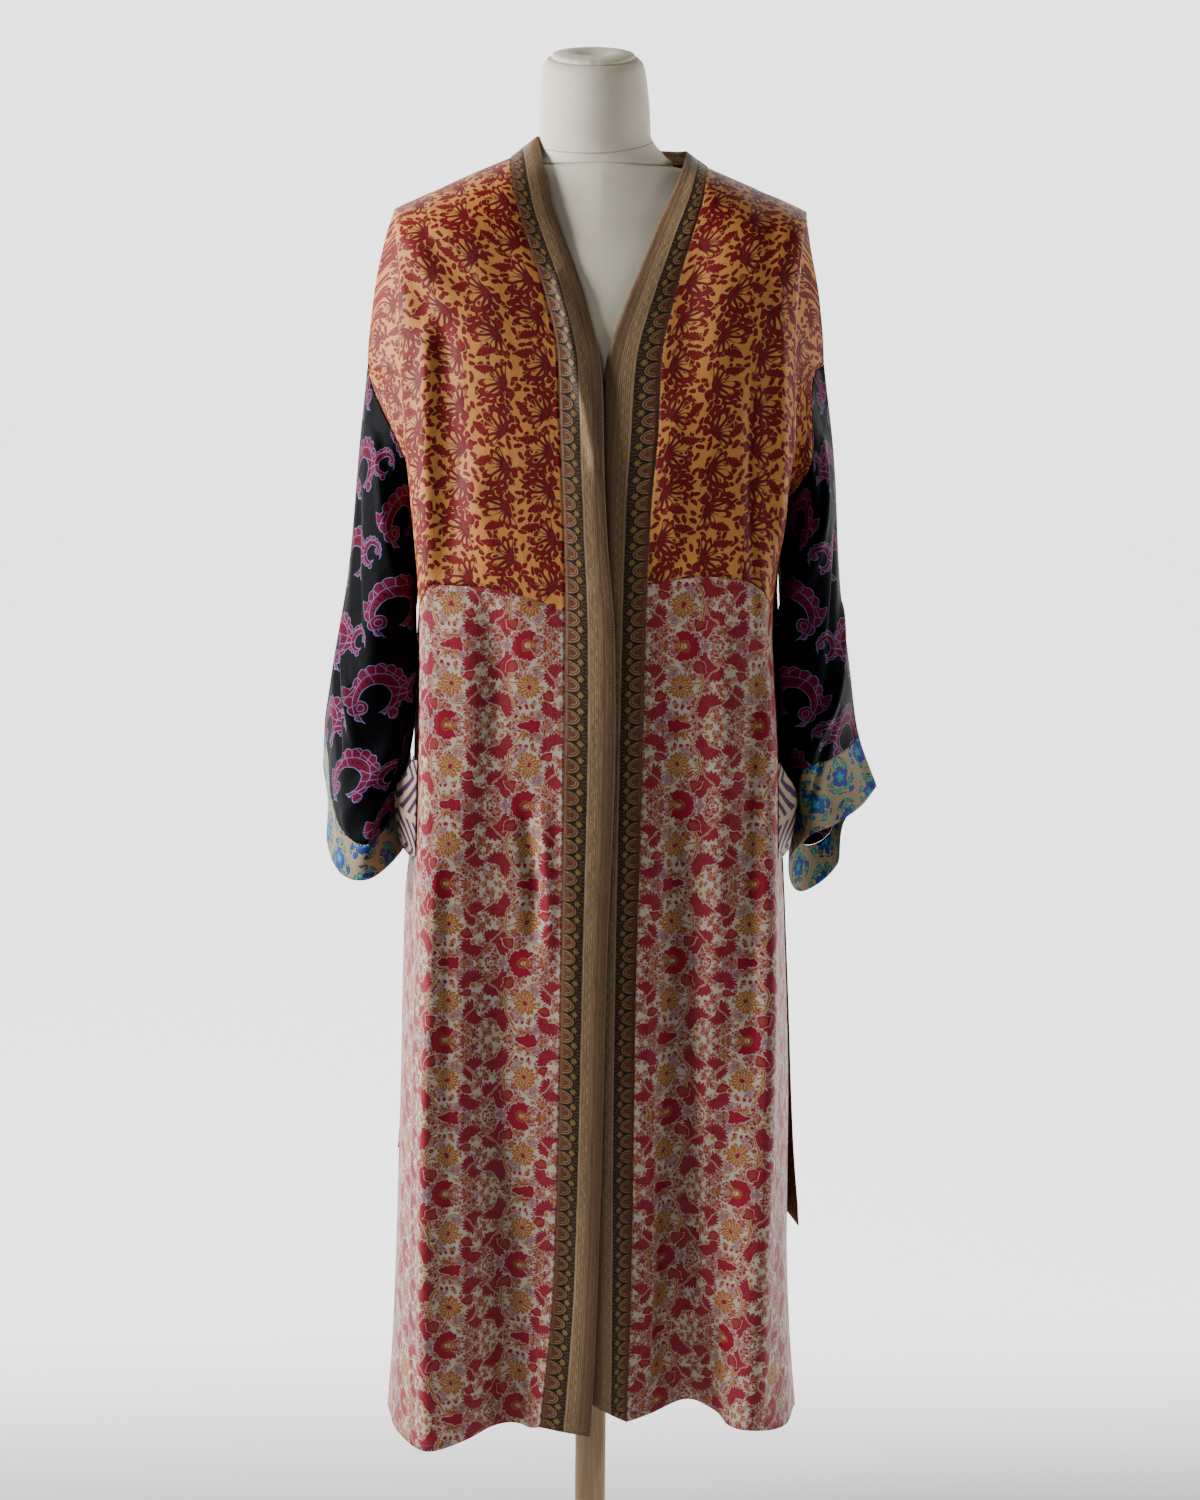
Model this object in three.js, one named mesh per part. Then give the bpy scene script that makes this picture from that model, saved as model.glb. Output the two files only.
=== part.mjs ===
// Patchwork silk kimono robe hanging open on a limbless dress form.
// Millimetres, +Z up, the front faces -Y, right and left are the wearer's: right is at -X.
// The origin is the centre of the base's underside.
import * as THREE from 'three';

// Driving dimensions
const wall = 2; // cloth wall
const seamGap = 0.3; // between sewn pieces
const clear = 0.8; // between a piece and the panel that it lies on
const middleZ = 1597; // line that closes the neck between its two seams, in the middle
const backNeckZ = 1581; // lowest point of the neck seam, in the middle of the back
const capDrop = 70; // height over which the cloth rolls over the shoulder
const underarmDrop = 154; // from the sleeve seam's top to the underarm
const beltWidth = 50;
const beltTailZ = 452; // lowest point of the longer belt end
const baseRadius = 185;
const baseHeight = 22;
const poleRadius = 17;
const torsoBottomZ = 850;

// Gives each row of a table its column names
const named = (columns, rows) => rows.map((row) =>
  Object.fromEntries(columns.map((name, i) => [name, row[i]])));

// Steps along each piece
const capSteps = 4;
const armSteps = 7; // rows from the sleeve seam's top to the underarm
const waistSteps = 13; // rows from the shoulder to the waist seam
const skirtSteps = 9;
const chestColumns = 9; // from the front band to the front crease
const lobeColumns = 6; // from that crease to the side
const sleeveSteps = 7;
const fanRows = 5; // rows over which the lobe's columns fan out from the crease
const edgeReach = 3; // the wall's direction at an edge is taken this far below it

// The shoulder line and the outer edge of each side, downwards: the top fold of the dropped
// shoulder, then the sleeve seam to the underarm, then the side seam. y is the seam's reach
// in front of the middle, and the same behind it.
const outerRight = [
  { z: 1543.5, x: -212.5, y: 0 },
  { z: 1516, x: -221.5, y: 0 },
  { z: 1455, x: -234.5, y: 0 },
  { z: 1382, x: -241.5, y: 0 },
  { z: 1377, x: -239, y: 12 },
  { z: 1361, x: -233, y: 27 },
  { z: 1339, x: -222, y: 44 },
  { z: 1312, x: -207, y: 60 },
  { z: 1284, x: -195, y: 64 },
  { z: 1256, x: -186, y: 42 },
  { z: 1228, x: -182, y: 0 },
  { z: 1160, x: -187, y: 0 },
  { z: 1083, x: -192, y: 0 },
  { z: 900, x: -197, y: 0 },
  { z: 821, x: -205, y: 0 },
  { z: 600, x: -211, y: 0 },
  { z: 339, x: -220, y: 0 },
  { z: 236, x: -227, y: 0 },
];
const outerLeft = [
  { z: 1544.5, x: 211.5, y: 0 },
  { z: 1512, x: 217, y: 0 },
  { z: 1451, x: 228.5, y: 0 },
  { z: 1390, x: 233.5, y: 0 },
  { z: 1384.7, x: 226, y: 12 },
  { z: 1369.5, x: 219, y: 32 },
  { z: 1347, x: 217.5, y: 48 },
  { z: 1320, x: 218, y: 58 },
  { z: 1292, x: 217, y: 66 },
  { z: 1264, x: 204, y: 58 },
  { z: 1236, x: 186, y: 0 },
  { z: 1168, x: 189, y: 0 },
  { z: 1088, x: 194, y: 0 },
  { z: 900, x: 199, y: 0 },
  { z: 807, x: 204, y: 0 },
  { z: 600, x: 213, y: 0 },
  { z: 439, x: 215, y: 0 },
  { z: 349, x: 219, y: 0 },
  { z: 245, x: 228, y: 0 },
];

// Level sections of the two fronts, from the front band's seam out: a point halfway, the
// crease that falls from the shoulder tip, and the hollow behind it. The depths reach forward.
const sectionColumns = [
  'z', 'seamX', 'seamD', 'midX', 'midD', 'creaseX', 'creaseD', 'hollowX', 'hollowD',
];
const frontRight = named(sectionColumns, [
  [1600, -93, 82, -154, 92, -213, 96, -213, 0],
  [1549, -85, 84, -146, 95, -212, 96, -213, 0],
  [1516, -75, 95, -135, 102, -204, 97, -202, 32],
  [1454, -54, 112, -126, 116, -200, 97, -188, 56],
  [1394, -41, 124, -118, 124, -199, 98, -186, 64],
  [1320, -38, 130, -112, 128, -194, 101, -184, 74],
  [1250, -35, 134, -106, 130, -187, 104, -176, 66],
  [1150, -32, 137, -100, 131, -177, 112, -178, 62],
  [1000, -32, 140, -98, 132, -173, 124, -184, 66],
  [700, -34, 140, -96, 132, -171, 137, -196, 74],
  [450, -39, 137, -88, 122, -168, 147, -203, 80],
  [250, -55, 134, -82, 106, -166, 152, -208, 84],
]);
const frontLeft = named(sectionColumns, [
  [1600, 110, 82, 162, 92, 212, 96, 212, 0],
  [1549, 102, 84, 152, 95, 211, 96, 212, 0],
  [1516, 92, 94, 142, 102, 203, 97, 201, 32],
  [1454, 74, 110, 134, 115, 197, 97, 186, 54],
  [1394, 62, 121, 128, 122, 195, 98, 188, 64],
  [1320, 59, 127, 122, 126, 196, 100, 190, 74],
  [1250, 53, 129, 116, 127, 186, 106, 186, 66],
  [1150, 49, 131, 108, 128, 169, 116, 182, 60],
  [1000, 47, 132, 106, 126, 178, 118, 187, 64],
  [700, 42, 132, 104, 118, 178, 131, 196, 72],
  [450, 41, 126, 106, 98, 172, 138, 203, 78],
  [250, 38, 114, 108, 74, 168, 142, 210, 84],
]);

// Level sections of the back, from the middle out to each side
const backHalf = named(sectionColumns, [
  [1600, 0, 98, 93, 97, 212, 86, 213, 0],
  [1549, 0, 100, 93, 98, 211, 86, 213, 0],
  [1500, 0, 103, 92, 100, 198, 86, 198, 34],
  [1450, 0, 105, 92, 101, 190, 88, 187, 54],
  [1320, 0, 108, 90, 103, 186, 94, 184, 74],
  [1250, 0, 110, 88, 104, 176, 95, 178, 60],
  [1150, 0, 112, 88, 106, 164, 96, 180, 54],
  [700, 0, 129, 90, 124, 172, 112, 196, 64],
  [250, 0, 148, 94, 142, 182, 124, 211, 72],
]);
const backWaves = 3; // half flutes from the middle of the back to each side
const backWaveDepth = 13; // at the hem
const wavesFromZ = 1100;
const wavesFullZ = 250;
const neckBlend = { fromZ: 1450, toZ: 1560 }; // the back's halfway column moves to the neck's end

// Heights of the waist seam and of the hem, by the place across the front
const levelsRight = [
  { q: 0, waist: 1142, hem: 276 },
  { q: 0.2, waist: 1157, hem: 267 },
  { q: 0.4, waist: 1166, hem: 269 },
  { q: 0.55, waist: 1167, hem: 260 },
  { q: 0.62, waist: 1150, hem: 256 },
  { q: 0.82, waist: 1108, hem: 246 },
  { q: 1, waist: 1083, hem: 238 },
];
const levelsLeft = [
  { q: 0, waist: 1170, hem: 274 },
  { q: 0.12, waist: 1174, hem: 275 },
  { q: 0.33, waist: 1178, hem: 284 },
  { q: 0.44, waist: 1176, hem: 278 },
  { q: 0.5, waist: 1174, hem: 274 },
  { q: 0.62, waist: 1160, hem: 277 },
  { q: 0.82, waist: 1108, hem: 257 },
  { q: 1, waist: 1088, hem: 245 },
];
const levelsBack = [
  { q: 0, waist: 1120, hem: 262 },
  { q: 0.6, waist: 1112, hem: 256 },
  { q: 1, waist: 1085, hem: 242 },
];
const knots = [0, 0.32, 0.62, 0.82, 1]; // places across of a section's five points
const creaseQ = knots[2];

// Free edge of the front band, downwards, with its depth in front
const edgeRight = [
  { z: 1618, x: -66, d: 3 },
  { z: 1600, x: -61, d: 27 },
  { z: 1585, x: -58, d: 48 },
  { z: 1573, x: -55, d: 59 },
  { z: 1549, x: -50, d: 76 },
  { z: 1516, x: -38, d: 93 },
  { z: 1486, x: -26, d: 103 },
  { z: 1454, x: -15, d: 114 },
  { z: 1427, x: -7.5, d: 119 },
  { z: 1394, x: 0.5, d: 125 },
  { z: 1363, x: 4, d: 130 },
  { z: 1284, x: 6, d: 137 },
  { z: 1210, x: 10, d: 141 },
  { z: 1115, x: 18, d: 143 },
  { z: 1014, x: 19.5, d: 144 },
  { z: 777, x: 13, d: 144 },
  { z: 513, x: 8.5, d: 142 },
  { z: 323, x: 3, d: 140 },
  { z: 268, x: 0, d: 139 },
];
const edgeLeft = [
  { z: 1604, x: 87, d: 6 },
  { z: 1597, x: 86, d: 18 },
  { z: 1583, x: 82, d: 40 },
  { z: 1565, x: 75, d: 58 },
  { z: 1547, x: 67, d: 73 },
  { z: 1515, x: 53, d: 90 },
  { z: 1485, x: 41, d: 102 },
  { z: 1454, x: 28, d: 112 },
  { z: 1426, x: 17.5, d: 117 },
  { z: 1393, x: 7.5, d: 121 },
  { z: 1363, x: 3, d: 123 },
  { z: 1284, x: -0.5, d: 126 },
  { z: 1168, x: -1.5, d: 130 },
  { z: 1013, x: -3, d: 132 },
  { z: 639, x: -3, d: 130 },
  { z: 400, x: 0, d: 127 },
  { z: 297, x: 2, d: 125 },
];
const liftFromZ = 1380; // above this the free edge stands higher than its seam
const bandHemZ = { right: 268, left: 297 };

// Back neck band, by its place from one shoulder to the other: top edge and neck seam
const neckBand = [
  { t: 0, x: -66, y: -3, z: 1618 },
  { t: 0.17, x: -62, y: 32, z: 1620 },
  { t: 0.34, x: -39, y: 60, z: 1618 },
  { t: 0.5, x: 0, y: 68, z: 1615 },
  { t: 0.66, x: 42, y: 60, z: 1611 },
  { t: 0.84, x: 76, y: 34, z: 1607 },
  { t: 1, x: 87, y: -6, z: 1604 },
];

// Sleeve rings: the places around, forwards from the outer fold, and each ring's points there
const armTurns = [0, 0.12, 0.25, 0.38, 0.5, 0.72, 0.88];
const cuffTurns = [0, 0.06, 0.12, 0.25, 0.38, 0.5, 0.72, 0.88, 0.94];
const sleeveRight = {
  upper: [
    [-251, 0, 1290], [-242, -44, 1268], [-219, -71, 1240], [-198, -58, 1215],
    [-192, 0, 1170], [-212, 74, 1240], [-240, 45, 1270],
  ],
  mid: [
    [-264, 8, 1164], [-257, -42, 1142], [-229, -78, 1112], [-201, -62, 1100],
    [-197, -4, 1085], [-222, 86, 1120], [-254, 58, 1150],
  ],
  lower: [
    [-284, 22, 1060], [-274, -30, 1035], [-250, -72, 1005], [-216, -70, 1012],
    [-204, -2, 1010], [-228, 92, 1040], [-270, 70, 1058],
  ],
  seam: [
    [-295, 44, 1005], [-287, 10, 968], [-282, -20, 938], [-264, -60, 902], [-231, -80, 895],
    [-205, 0, 947], [-228, 94, 975], [-278, 88, 1002], [-289, 70, 1008],
  ],
  hem: [
    [-298, 50, 957], [-289, 16, 920], [-287, -14, 881], [-266, -55, 854], [-232, -70, 855],
    [-205, 6, 876], [-226, 98, 905], [-280, 96, 946], [-292, 78, 956],
  ],
};
const sleeveLeft = {
  upper: [
    [247, 0, 1281], [241, -42, 1262], [230, -66, 1242], [212, -62, 1222],
    [194, 0, 1175], [214, 72, 1235], [238, 45, 1265],
  ],
  mid: [
    [256, 8, 1160], [250, -42, 1140], [234, -69, 1120], [210, -63, 1108],
    [201, 0, 1085], [218, 84, 1110], [247, 58, 1145],
  ],
  lower: [
    [270, 8, 1062], [262, -38, 1048], [242, -68, 1037], [213, -64, 1030],
    [206, 0, 1000], [224, 88, 985], [263, 70, 1020],
  ],
  seam: [
    [280, 5, 997], [273, -14, 994], [264, -30, 990], [242, -57, 981], [219, -64, 973],
    [208, 5, 925], [228, 68, 868], [260, 78, 880], [266, 64, 926],
  ],
  hem: [
    [300, 5, 943], [292, -12, 936], [281, -27, 927], [252, -50, 912], [220, -63, 899],
    [209, 15, 856], [227, 62, 815], [269, 80, 843], [274, 68, 893],
  ],
};

// Dress form sections, upwards: half width, reach to the front and back, and the power of the
// oval (2 is an ellipse, lower is pointed at the shoulders)
const torsoRings = [
  { z: 850, half: 148, front: 92, back: 96, power: 2.3 },
  { z: 910, half: 162, front: 104, back: 108, power: 2.3 },
  { z: 1010, half: 156, front: 102, back: 104, power: 2.3 },
  { z: 1100, half: 128, front: 90, back: 82, power: 2.3 },
  { z: 1170, half: 116, front: 84, back: 76, power: 2.3 },
  { z: 1250, half: 127, front: 97, back: 80, power: 2.3 },
  { z: 1330, half: 141, front: 112, back: 88, power: 2.3 },
  { z: 1395, half: 152, front: 116, back: 93, power: 2.2 },
  { z: 1430, half: 164, front: 113, back: 96, power: 2.1 },
  { z: 1465, half: 180, front: 106, back: 97, power: 2 },
  { z: 1500, half: 196, front: 96, back: 92, power: 1.8 },
  { z: 1525, half: 205, front: 86, back: 82, power: 1.5 },
];
const shoulderRings = [
  { z: 1539, front: 79, back: 74, power: 1.45 },
  { z: 1552, front: 72, back: 68, power: 1.45 },
  { z: 1566, front: 65, back: 63, power: 1.45 },
  { z: 1580, front: 56, back: 54, power: 1.5 },
];
const neckRings = [
  { z: 1588, half: 74, front: 50, back: 47, slope: 0 },
  { z: 1599, half: 60, front: 49, back: 48, slope: 0.05 },
  { z: 1612, half: 57, front: 49, back: 47, slope: 0.12 },
  { z: 1640, half: 56.5, front: 50, back: 46, slope: 0.22 },
  { z: 1672, half: 54.5, front: 50, back: 44, slope: 0.3 },
  { z: 1690, half: 51.5, front: 48, back: 41, slope: 0.32 },
  { z: 1696, half: 46, front: 43, back: 37, slope: 0.32 },
];
const capRim = { half: 43, front: 41, back: 35 };
const capHeight = 5;
const capHollow = { half: 17, deep: 3 };
const neckPower = 1.8; // of the oval at the neck's foot
const formShift = -3; // the form's middle lies this far to the side of the pole at the neck
const formColumns = 32;
const shoulderSink = 2.9; // the form's shoulder line under the cloth's outer face
const widestHalf = 206;

const colours = {
  gold: 0xc88c50, floral: 0xc8a096, band: 0x7d6448, black: 0x101218, cuff: 0xa09173,
  pocket: 0xbeaf9b, olive: 0x4c3a1a, form: 0xcfcbbb, wood: 0xc4a074, base: 0x8a6a48,
};

// Monotone cubic interpolation of one column of a table whose rows run up or down by key
function columnAt(table, key, value, column) {
  const rising = table[table.length - 1][key] > table[0][key];
  const rows = rising ? table : [...table].reverse();
  const last = rows.length - 1;
  if (value <= rows[0][key]) return rows[0][column];
  if (value >= rows[last][key]) return rows[last][column];
  let i = 0;
  while (rows[i + 1][key] < value) i += 1;
  const slope = (j) => (rows[j + 1][column] - rows[j][column]) / (rows[j + 1][key] - rows[j][key]);
  const tangent = (j) => {
    if (j === 0) return slope(0);
    if (j === last) return slope(last - 1);
    const before = slope(j - 1);
    const after = slope(j);
    return before * after <= 0 ? 0 : (2 * before * after) / (before + after);
  };
  const width = rows[i + 1][key] - rows[i][key];
  const s = (value - rows[i][key]) / width;
  const a = rows[i][column];
  const b = rows[i + 1][column];
  const rise = (1 + 2 * s) * (1 - s) * (1 - s) * a + s * s * (3 - 2 * s) * b;
  return rise + s * (1 - s) * width * ((1 - s) * tangent(i) - s * tangent(i + 1));
}

// Smooth curve through points at the given places
function throughPoints(points, places, t) {
  let i = 0;
  while (i < places.length - 2 && places[i + 1] < t) i += 1;
  const tangent = (j) => {
    const low = Math.max(0, j - 1);
    const high = Math.min(points.length - 1, j + 1);
    return points[high].clone().sub(points[low]).divideScalar(places[high] - places[low]);
  };
  const width = places[i + 1] - places[i];
  const s = (t - places[i]) / width;
  const out = points[i].clone().multiplyScalar((1 + 2 * s) * (1 - s) * (1 - s));
  out.addScaledVector(points[i + 1], s * s * (3 - 2 * s));
  out.addScaledVector(tangent(i), s * (1 - s) * (1 - s) * width);
  return out.addScaledVector(tangent(i + 1), -s * s * (1 - s) * width);
}

const lerp = THREE.MathUtils.lerp;
const vector = (x, y, z) => new THREE.Vector3(x, y, z);

// The robe's two sides, by the sign of x
const sides = {
  [-1]: {
    sign: -1, outer: outerRight, front: frontRight, levels: levelsRight, edge: edgeRight,
    neckX: -93, neckZ: 1596, bow: 1,
  },
  1: {
    sign: 1, outer: outerLeft, front: frontLeft, levels: levelsLeft, edge: edgeLeft,
    neckX: 110, neckZ: 1587.5, bow: 0.5,
  },
};
for (const side of Object.values(sides)) {
  side.tipZ = side.outer[0].z;
  side.tipX = side.outer[0].x;
  side.armZ = side.outer[3].z;
}

// Height of the shoulder line at x, from the neck seam to the tip, and of the line that closes
// the neck between the seams
function shoulderZ(side, x) {
  const along = (x - side.neckX) / (side.tipX - side.neckX);
  const bow = side.bow * Math.sin(Math.PI * THREE.MathUtils.clamp(along, 0, 1));
  if (along > 0) return lerp(side.neckZ, side.tipZ, along) + bow;
  return lerp(middleZ, side.neckZ, (x / side.neckX) ** 2);
}

function rollOver(drop) {
  const h = THREE.MathUtils.clamp(drop / capDrop, 0, 1);
  return Math.sqrt(1 - (1 - h) * (1 - h));
}

// A point of the robe's outer face: face is -1 in front and 1 behind, q is the place across
function robePoint(side, face, q, z) {
  const table = face < 0 ? side.front : backHalf;
  const mirror = face < 0 ? 1 : side.sign;
  const points = ['seam', 'mid', 'crease', 'hollow'].map((name) => vector(
    mirror * columnAt(table, 'z', z, `${name}X`), face * columnAt(table, 'z', z, `${name}D`), z));
  const edge = (column) => columnAt(side.outer, 'z', z, column);
  points.push(vector(edge('x'), face * edge('y'), z));
  if (face > 0) {
    const toNeck = THREE.MathUtils.smoothstep(z, neckBlend.fromZ, neckBlend.toZ);
    points[1].x = lerp(points[1].x, side.neckX, toNeck);
    const hang = THREE.MathUtils.clamp((wavesFromZ - z) / (wavesFromZ - wavesFullZ), 0, 1);
    const wave = (place) => hang * backWaveDepth * Math.cos((Math.PI * backWaves * place) / creaseQ);
    if (q > creaseQ) points[2].y += wave(creaseQ);
    else points.forEach((point) => { point.y += wave(q); });
  }
  if (q > creaseQ) {
    for (let i = 0; i < 3; i += 1) points[i].y *= rollOver(shoulderZ(side, points[i].x) - z);
    return throughPoints(points, knots, q);
  }
  const bare = throughPoints(points, knots, q);
  bare.y *= rollOver(shoulderZ(side, bare.x) - z);
  return bare;
}

// Height at which the column at q crosses the shoulder line
function crossingZ(side, face, q) {
  let z = side.neckZ;
  for (let i = 0; i < 8; i += 1) z = shoulderZ(side, robePoint(side, face, q, z).x);
  return z;
}

// Height of the back's neck edge: it dips between the shoulders
function neckEdgeZ(side, q) {
  const x = robePoint(side, 1, q, side.neckZ).x;
  return lerp(backNeckZ, side.neckZ, (x / side.neckX) ** 4);
}

// Inward vector as long as the wall, square to the cloth
function robeInward(side, face, q, z) {
  const stepQ = 0.012;
  const stepZ = 2;
  const q0 = Math.max(0, q - stepQ);
  const q1 = Math.min(1, q + stepQ);
  const across = robePoint(side, face, q1, z).sub(robePoint(side, face, q0, z));
  const up = robePoint(side, face, q, z + stepZ).sub(robePoint(side, face, q, z - stepZ));
  const inward = across.cross(up).multiplyScalar(side.sign * face);
  return inward.setLength(wall);
}

// Rows of the upper panels: how far each lies below the top edge
function dropAt(k, top, waist) {
  if (k <= capSteps) return capDrop * (1 - Math.cos((k / capSteps) * Math.PI * 0.5));
  if (k <= armSteps) return lerp(capDrop, underarmDrop, (k - capSteps) / (armSteps - capSteps));
  return lerp(underarmDrop, top - waist, (k - armSteps) / (waistSteps - armSteps));
}

// Place across, from a column: 0 at the seam, 1 at the crease, 2 at the side
const placeOf = (a) => (a <= 1 ? creaseQ * a : lerp(creaseQ, 1, a - 1));
const neckPlace = knots[1] / creaseQ; // the back's column at the end of the neck seam

// One vertex of an upper panel. a runs across: 0 at the seam, 1 at the crease, 2 at the side.
function upperVertex(side, face, a, k, levels) {
  const f = a - 1;
  const place = placeOf(a);
  const q = a <= 1 ? place : lerp(creaseQ, 1, f ** Math.min(1, k / fanRows));
  const inNeck = face > 0 && a < neckPlace;
  const seamZ = inNeck ? neckEdgeZ(side, q) : crossingZ(side, face, Math.min(place, creaseQ));
  const topZ = a <= 1 ? seamZ : lerp(seamZ, side.armZ, f);
  const z = topZ - dropAt(k, topZ, columnAt(levels, 'q', place, 'waist'));
  const point = robePoint(side, face, q, z);
  let inward = robeInward(side, face, q, Math.min(z, topZ - edgeReach));
  if (a <= 1 && k > 0 && k < capSteps) {
    const roll = rollOver(topZ - z);
    inward = vector(inward.x * 0.3, -face * roll, -Math.sqrt(1 - roll * roll) - 0.15).setLength(wall);
  }
  const onShoulder = k === 0 && Math.abs(point.y) < 2;
  const onSide = a === 2 && (k >= armSteps || k === 0);
  if (onShoulder || onSide) {
    const along = a > 1 ? vector(-side.sign, 0, -0.15) : vector(-side.sign * 0.3, 0, -1);
    inward = (a === 1 ? vector(-side.sign, 0, -1) : along).setLength(wall);
    point.y = face * seamGap * 0.5;
  }
  return { point, inward };
}

// Closed solid from rows of { point, inward }; a ring's rows close on themselves
function clothGeometry(rows, ring = false) {
  const columns = rows[0].length;
  const outer = rows.flat().map((vertex) => vertex.point);
  const inner = rows.flat().map((vertex) => vertex.point.clone().add(vertex.inward));
  const points = [...outer, ...inner];
  const index = [];
  const half = outer.length;
  const quad = (a, b, c, d) => index.push(a, b, c, a, c, d);
  const at = (row, column) => row * columns + (column % columns);
  const across = ring ? columns : columns - 1;
  for (let r = 0; r < rows.length - 1; r += 1) {
    for (let c = 0; c < across; c += 1) {
      quad(at(r, c), at(r, c + 1), at(r + 1, c + 1), at(r + 1, c));
      quad(half + at(r, c), half + at(r + 1, c), half + at(r + 1, c + 1), half + at(r, c + 1));
    }
  }
  const lastRow = rows.length - 1;
  for (let c = 0; c < across; c += 1) {
    quad(at(0, c), half + at(0, c), half + at(0, c + 1), at(0, c + 1));
    quad(at(lastRow, c), at(lastRow, c + 1), half + at(lastRow, c + 1), half + at(lastRow, c));
  }
  for (let r = 0; r < lastRow && !ring; r += 1) {
    quad(at(r, 0), at(r + 1, 0), half + at(r + 1, 0), half + at(r, 0));
    quad(at(r, across), half + at(r, across), half + at(r + 1, across), at(r + 1, across));
  }
  return solidGeometry(points, index);
}

// Turns the faces outwards by the sign of the volume
function solidGeometry(points, index) {
  let volume = 0;
  for (let i = 0; i < index.length; i += 3) {
    const [a, b, c] = [points[index[i]], points[index[i + 1]], points[index[i + 2]]];
    volume += a.dot(b.clone().cross(c));
  }
  if (volume < 0) {
    for (let i = 0; i < index.length; i += 3) [index[i], index[i + 1]] = [index[i + 1], index[i]];
  }
  const geometry = new THREE.BufferGeometry().setFromPoints(points);
  geometry.setIndex(index);
  geometry.computeVertexNormals();
  return geometry;
}

const model = new THREE.Group();

function addMesh(name, geometry, colour, roughness = 0.6) {
  const material = new THREE.MeshStandardMaterial({ color: colour, roughness, metalness: 0 });
  const mesh = new THREE.Mesh(geometry, material);
  mesh.name = name;
  model.add(mesh);
}

const steps = (count) => Array.from({ length: count + 1 }, (unused, i) => i);
const acrossSteps = [
  ...steps(chestColumns).map((i) => i / chestColumns),
  ...steps(lobeColumns).slice(1).map((i) => 1 + i / lobeColumns),
];
const nudge = (vertex, x, y, z) => {
  vertex.point.add(vector(x, y, z));
  return vertex;
};

// Upper fronts, from the shoulder line to the waist seam
function upperFront(side) {
  return steps(waistSteps).map((k) => acrossSteps.map((a) => {
    const vertex = upperVertex(side, -1, a, k, side.levels);
    if (a === 0) nudge(vertex, side.sign * seamGap * 0.5, 0, 0);
    if (k === waistSteps) nudge(vertex, 0, 0, seamGap * 0.5);
    return vertex;
  }));
}

// Columns of the back: some up to the neck seam, then on to the crease and the side
const neckColumns = 5;
const acrossBack = acrossSteps.map((a, i) => {
  if (i <= neckColumns) return (i / neckColumns) * neckPlace;
  return a < 1 ? lerp(neckPlace, 1, (i - neckColumns) / (chestColumns - neckColumns)) : a;
});

// Upper back, in one piece from side to side
function upperBackRow(k) {
  const half = (side) => acrossBack.map((a) => upperVertex(side, 1, a, k, levelsBack));
  const row = [...half(sides[-1]).reverse(), ...half(sides[1]).slice(1)];
  const seam = k === waistSteps ? seamGap * 0.5 : 0;
  return row.map((vertex) => nudge(vertex, 0, 0, seam));
}

// Skirt rows: r is 0 at the waist seam and 1 at the hem
function skirtVertex(side, face, q, r, levels) {
  const waist = columnAt(levels, 'q', q, 'waist') - seamGap * 0.5;
  const z = lerp(waist, columnAt(levels, 'q', q, 'hem'), r);
  const vertex = { point: robePoint(side, face, q, z), inward: robeInward(side, face, q, z) };
  if (q === 1) {
    vertex.inward = vector(-side.sign * wall, 0, 0);
    vertex.point.y = face * seamGap * 0.5;
  }
  if (q === 0 && face < 0) nudge(vertex, side.sign * seamGap * 0.5, 0, 0);
  return vertex;
}

function lowerFront(side) {
  return steps(skirtSteps).map((i) =>
    acrossSteps.map((a) => skirtVertex(side, -1, placeOf(a), i / skirtSteps, side.levels)));
}

function lowerBack() {
  return steps(skirtSteps).map((i) => {
    const half = (side) =>
      acrossBack.map((a) => skirtVertex(side, 1, placeOf(a), i / skirtSteps, levelsBack));
    return [...half(sides[-1]).reverse(), ...half(sides[1]).slice(1)];
  });
}

// Front band: from the panel's seam to the free edge
const bandColumns = 3;
const bandSwell = 2; // how far its middle stands out from a straight line across
function frontBand(side, hemZ) {
  const upper = steps(waistSteps).map((k) => upperVertex(side, -1, 0, k, side.levels));
  const lower = steps(skirtSteps).slice(1).map((i) =>
    skirtVertex(side, -1, 0, i / skirtSteps, side.levels));
  lower.forEach((vertex) => nudge(vertex, -side.sign * seamGap * 0.5, 0, 0));
  const seamRows = [...upper, ...lower];
  const topZ = side.edge[0].z;
  return seamRows.map((seam, i) => {
    const z = seam.point.z;
    const lift = (topZ - side.neckZ) * THREE.MathUtils.smoothstep(z, liftFromZ, side.neckZ);
    const edgeZ = i === seamRows.length - 1 ? hemZ : z + lift;
    const edge = vector(
      columnAt(side.edge, 'z', edgeZ, 'x'), -columnAt(side.edge, 'z', edgeZ, 'd'), edgeZ);
    const start = seam.point.clone().add(vector(-side.sign * seamGap * 0.5, 0, 0));
    return steps(bandColumns).map((j) => {
      const t = j / bandColumns;
      const point = start.clone().lerp(edge, t);
      point.y -= bandSwell * Math.sin(Math.PI * t) * Math.min(1, i / bandColumns);
      const flat = i < 2 ? vector(side.sign * -0.7, 0.2, -0.7) : vector(0, 1, -0.1);
      const inward = seam.inward.clone().lerp(flat.setLength(wall), t).setLength(wall);
      return { point, inward };
    });
  });
}

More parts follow.
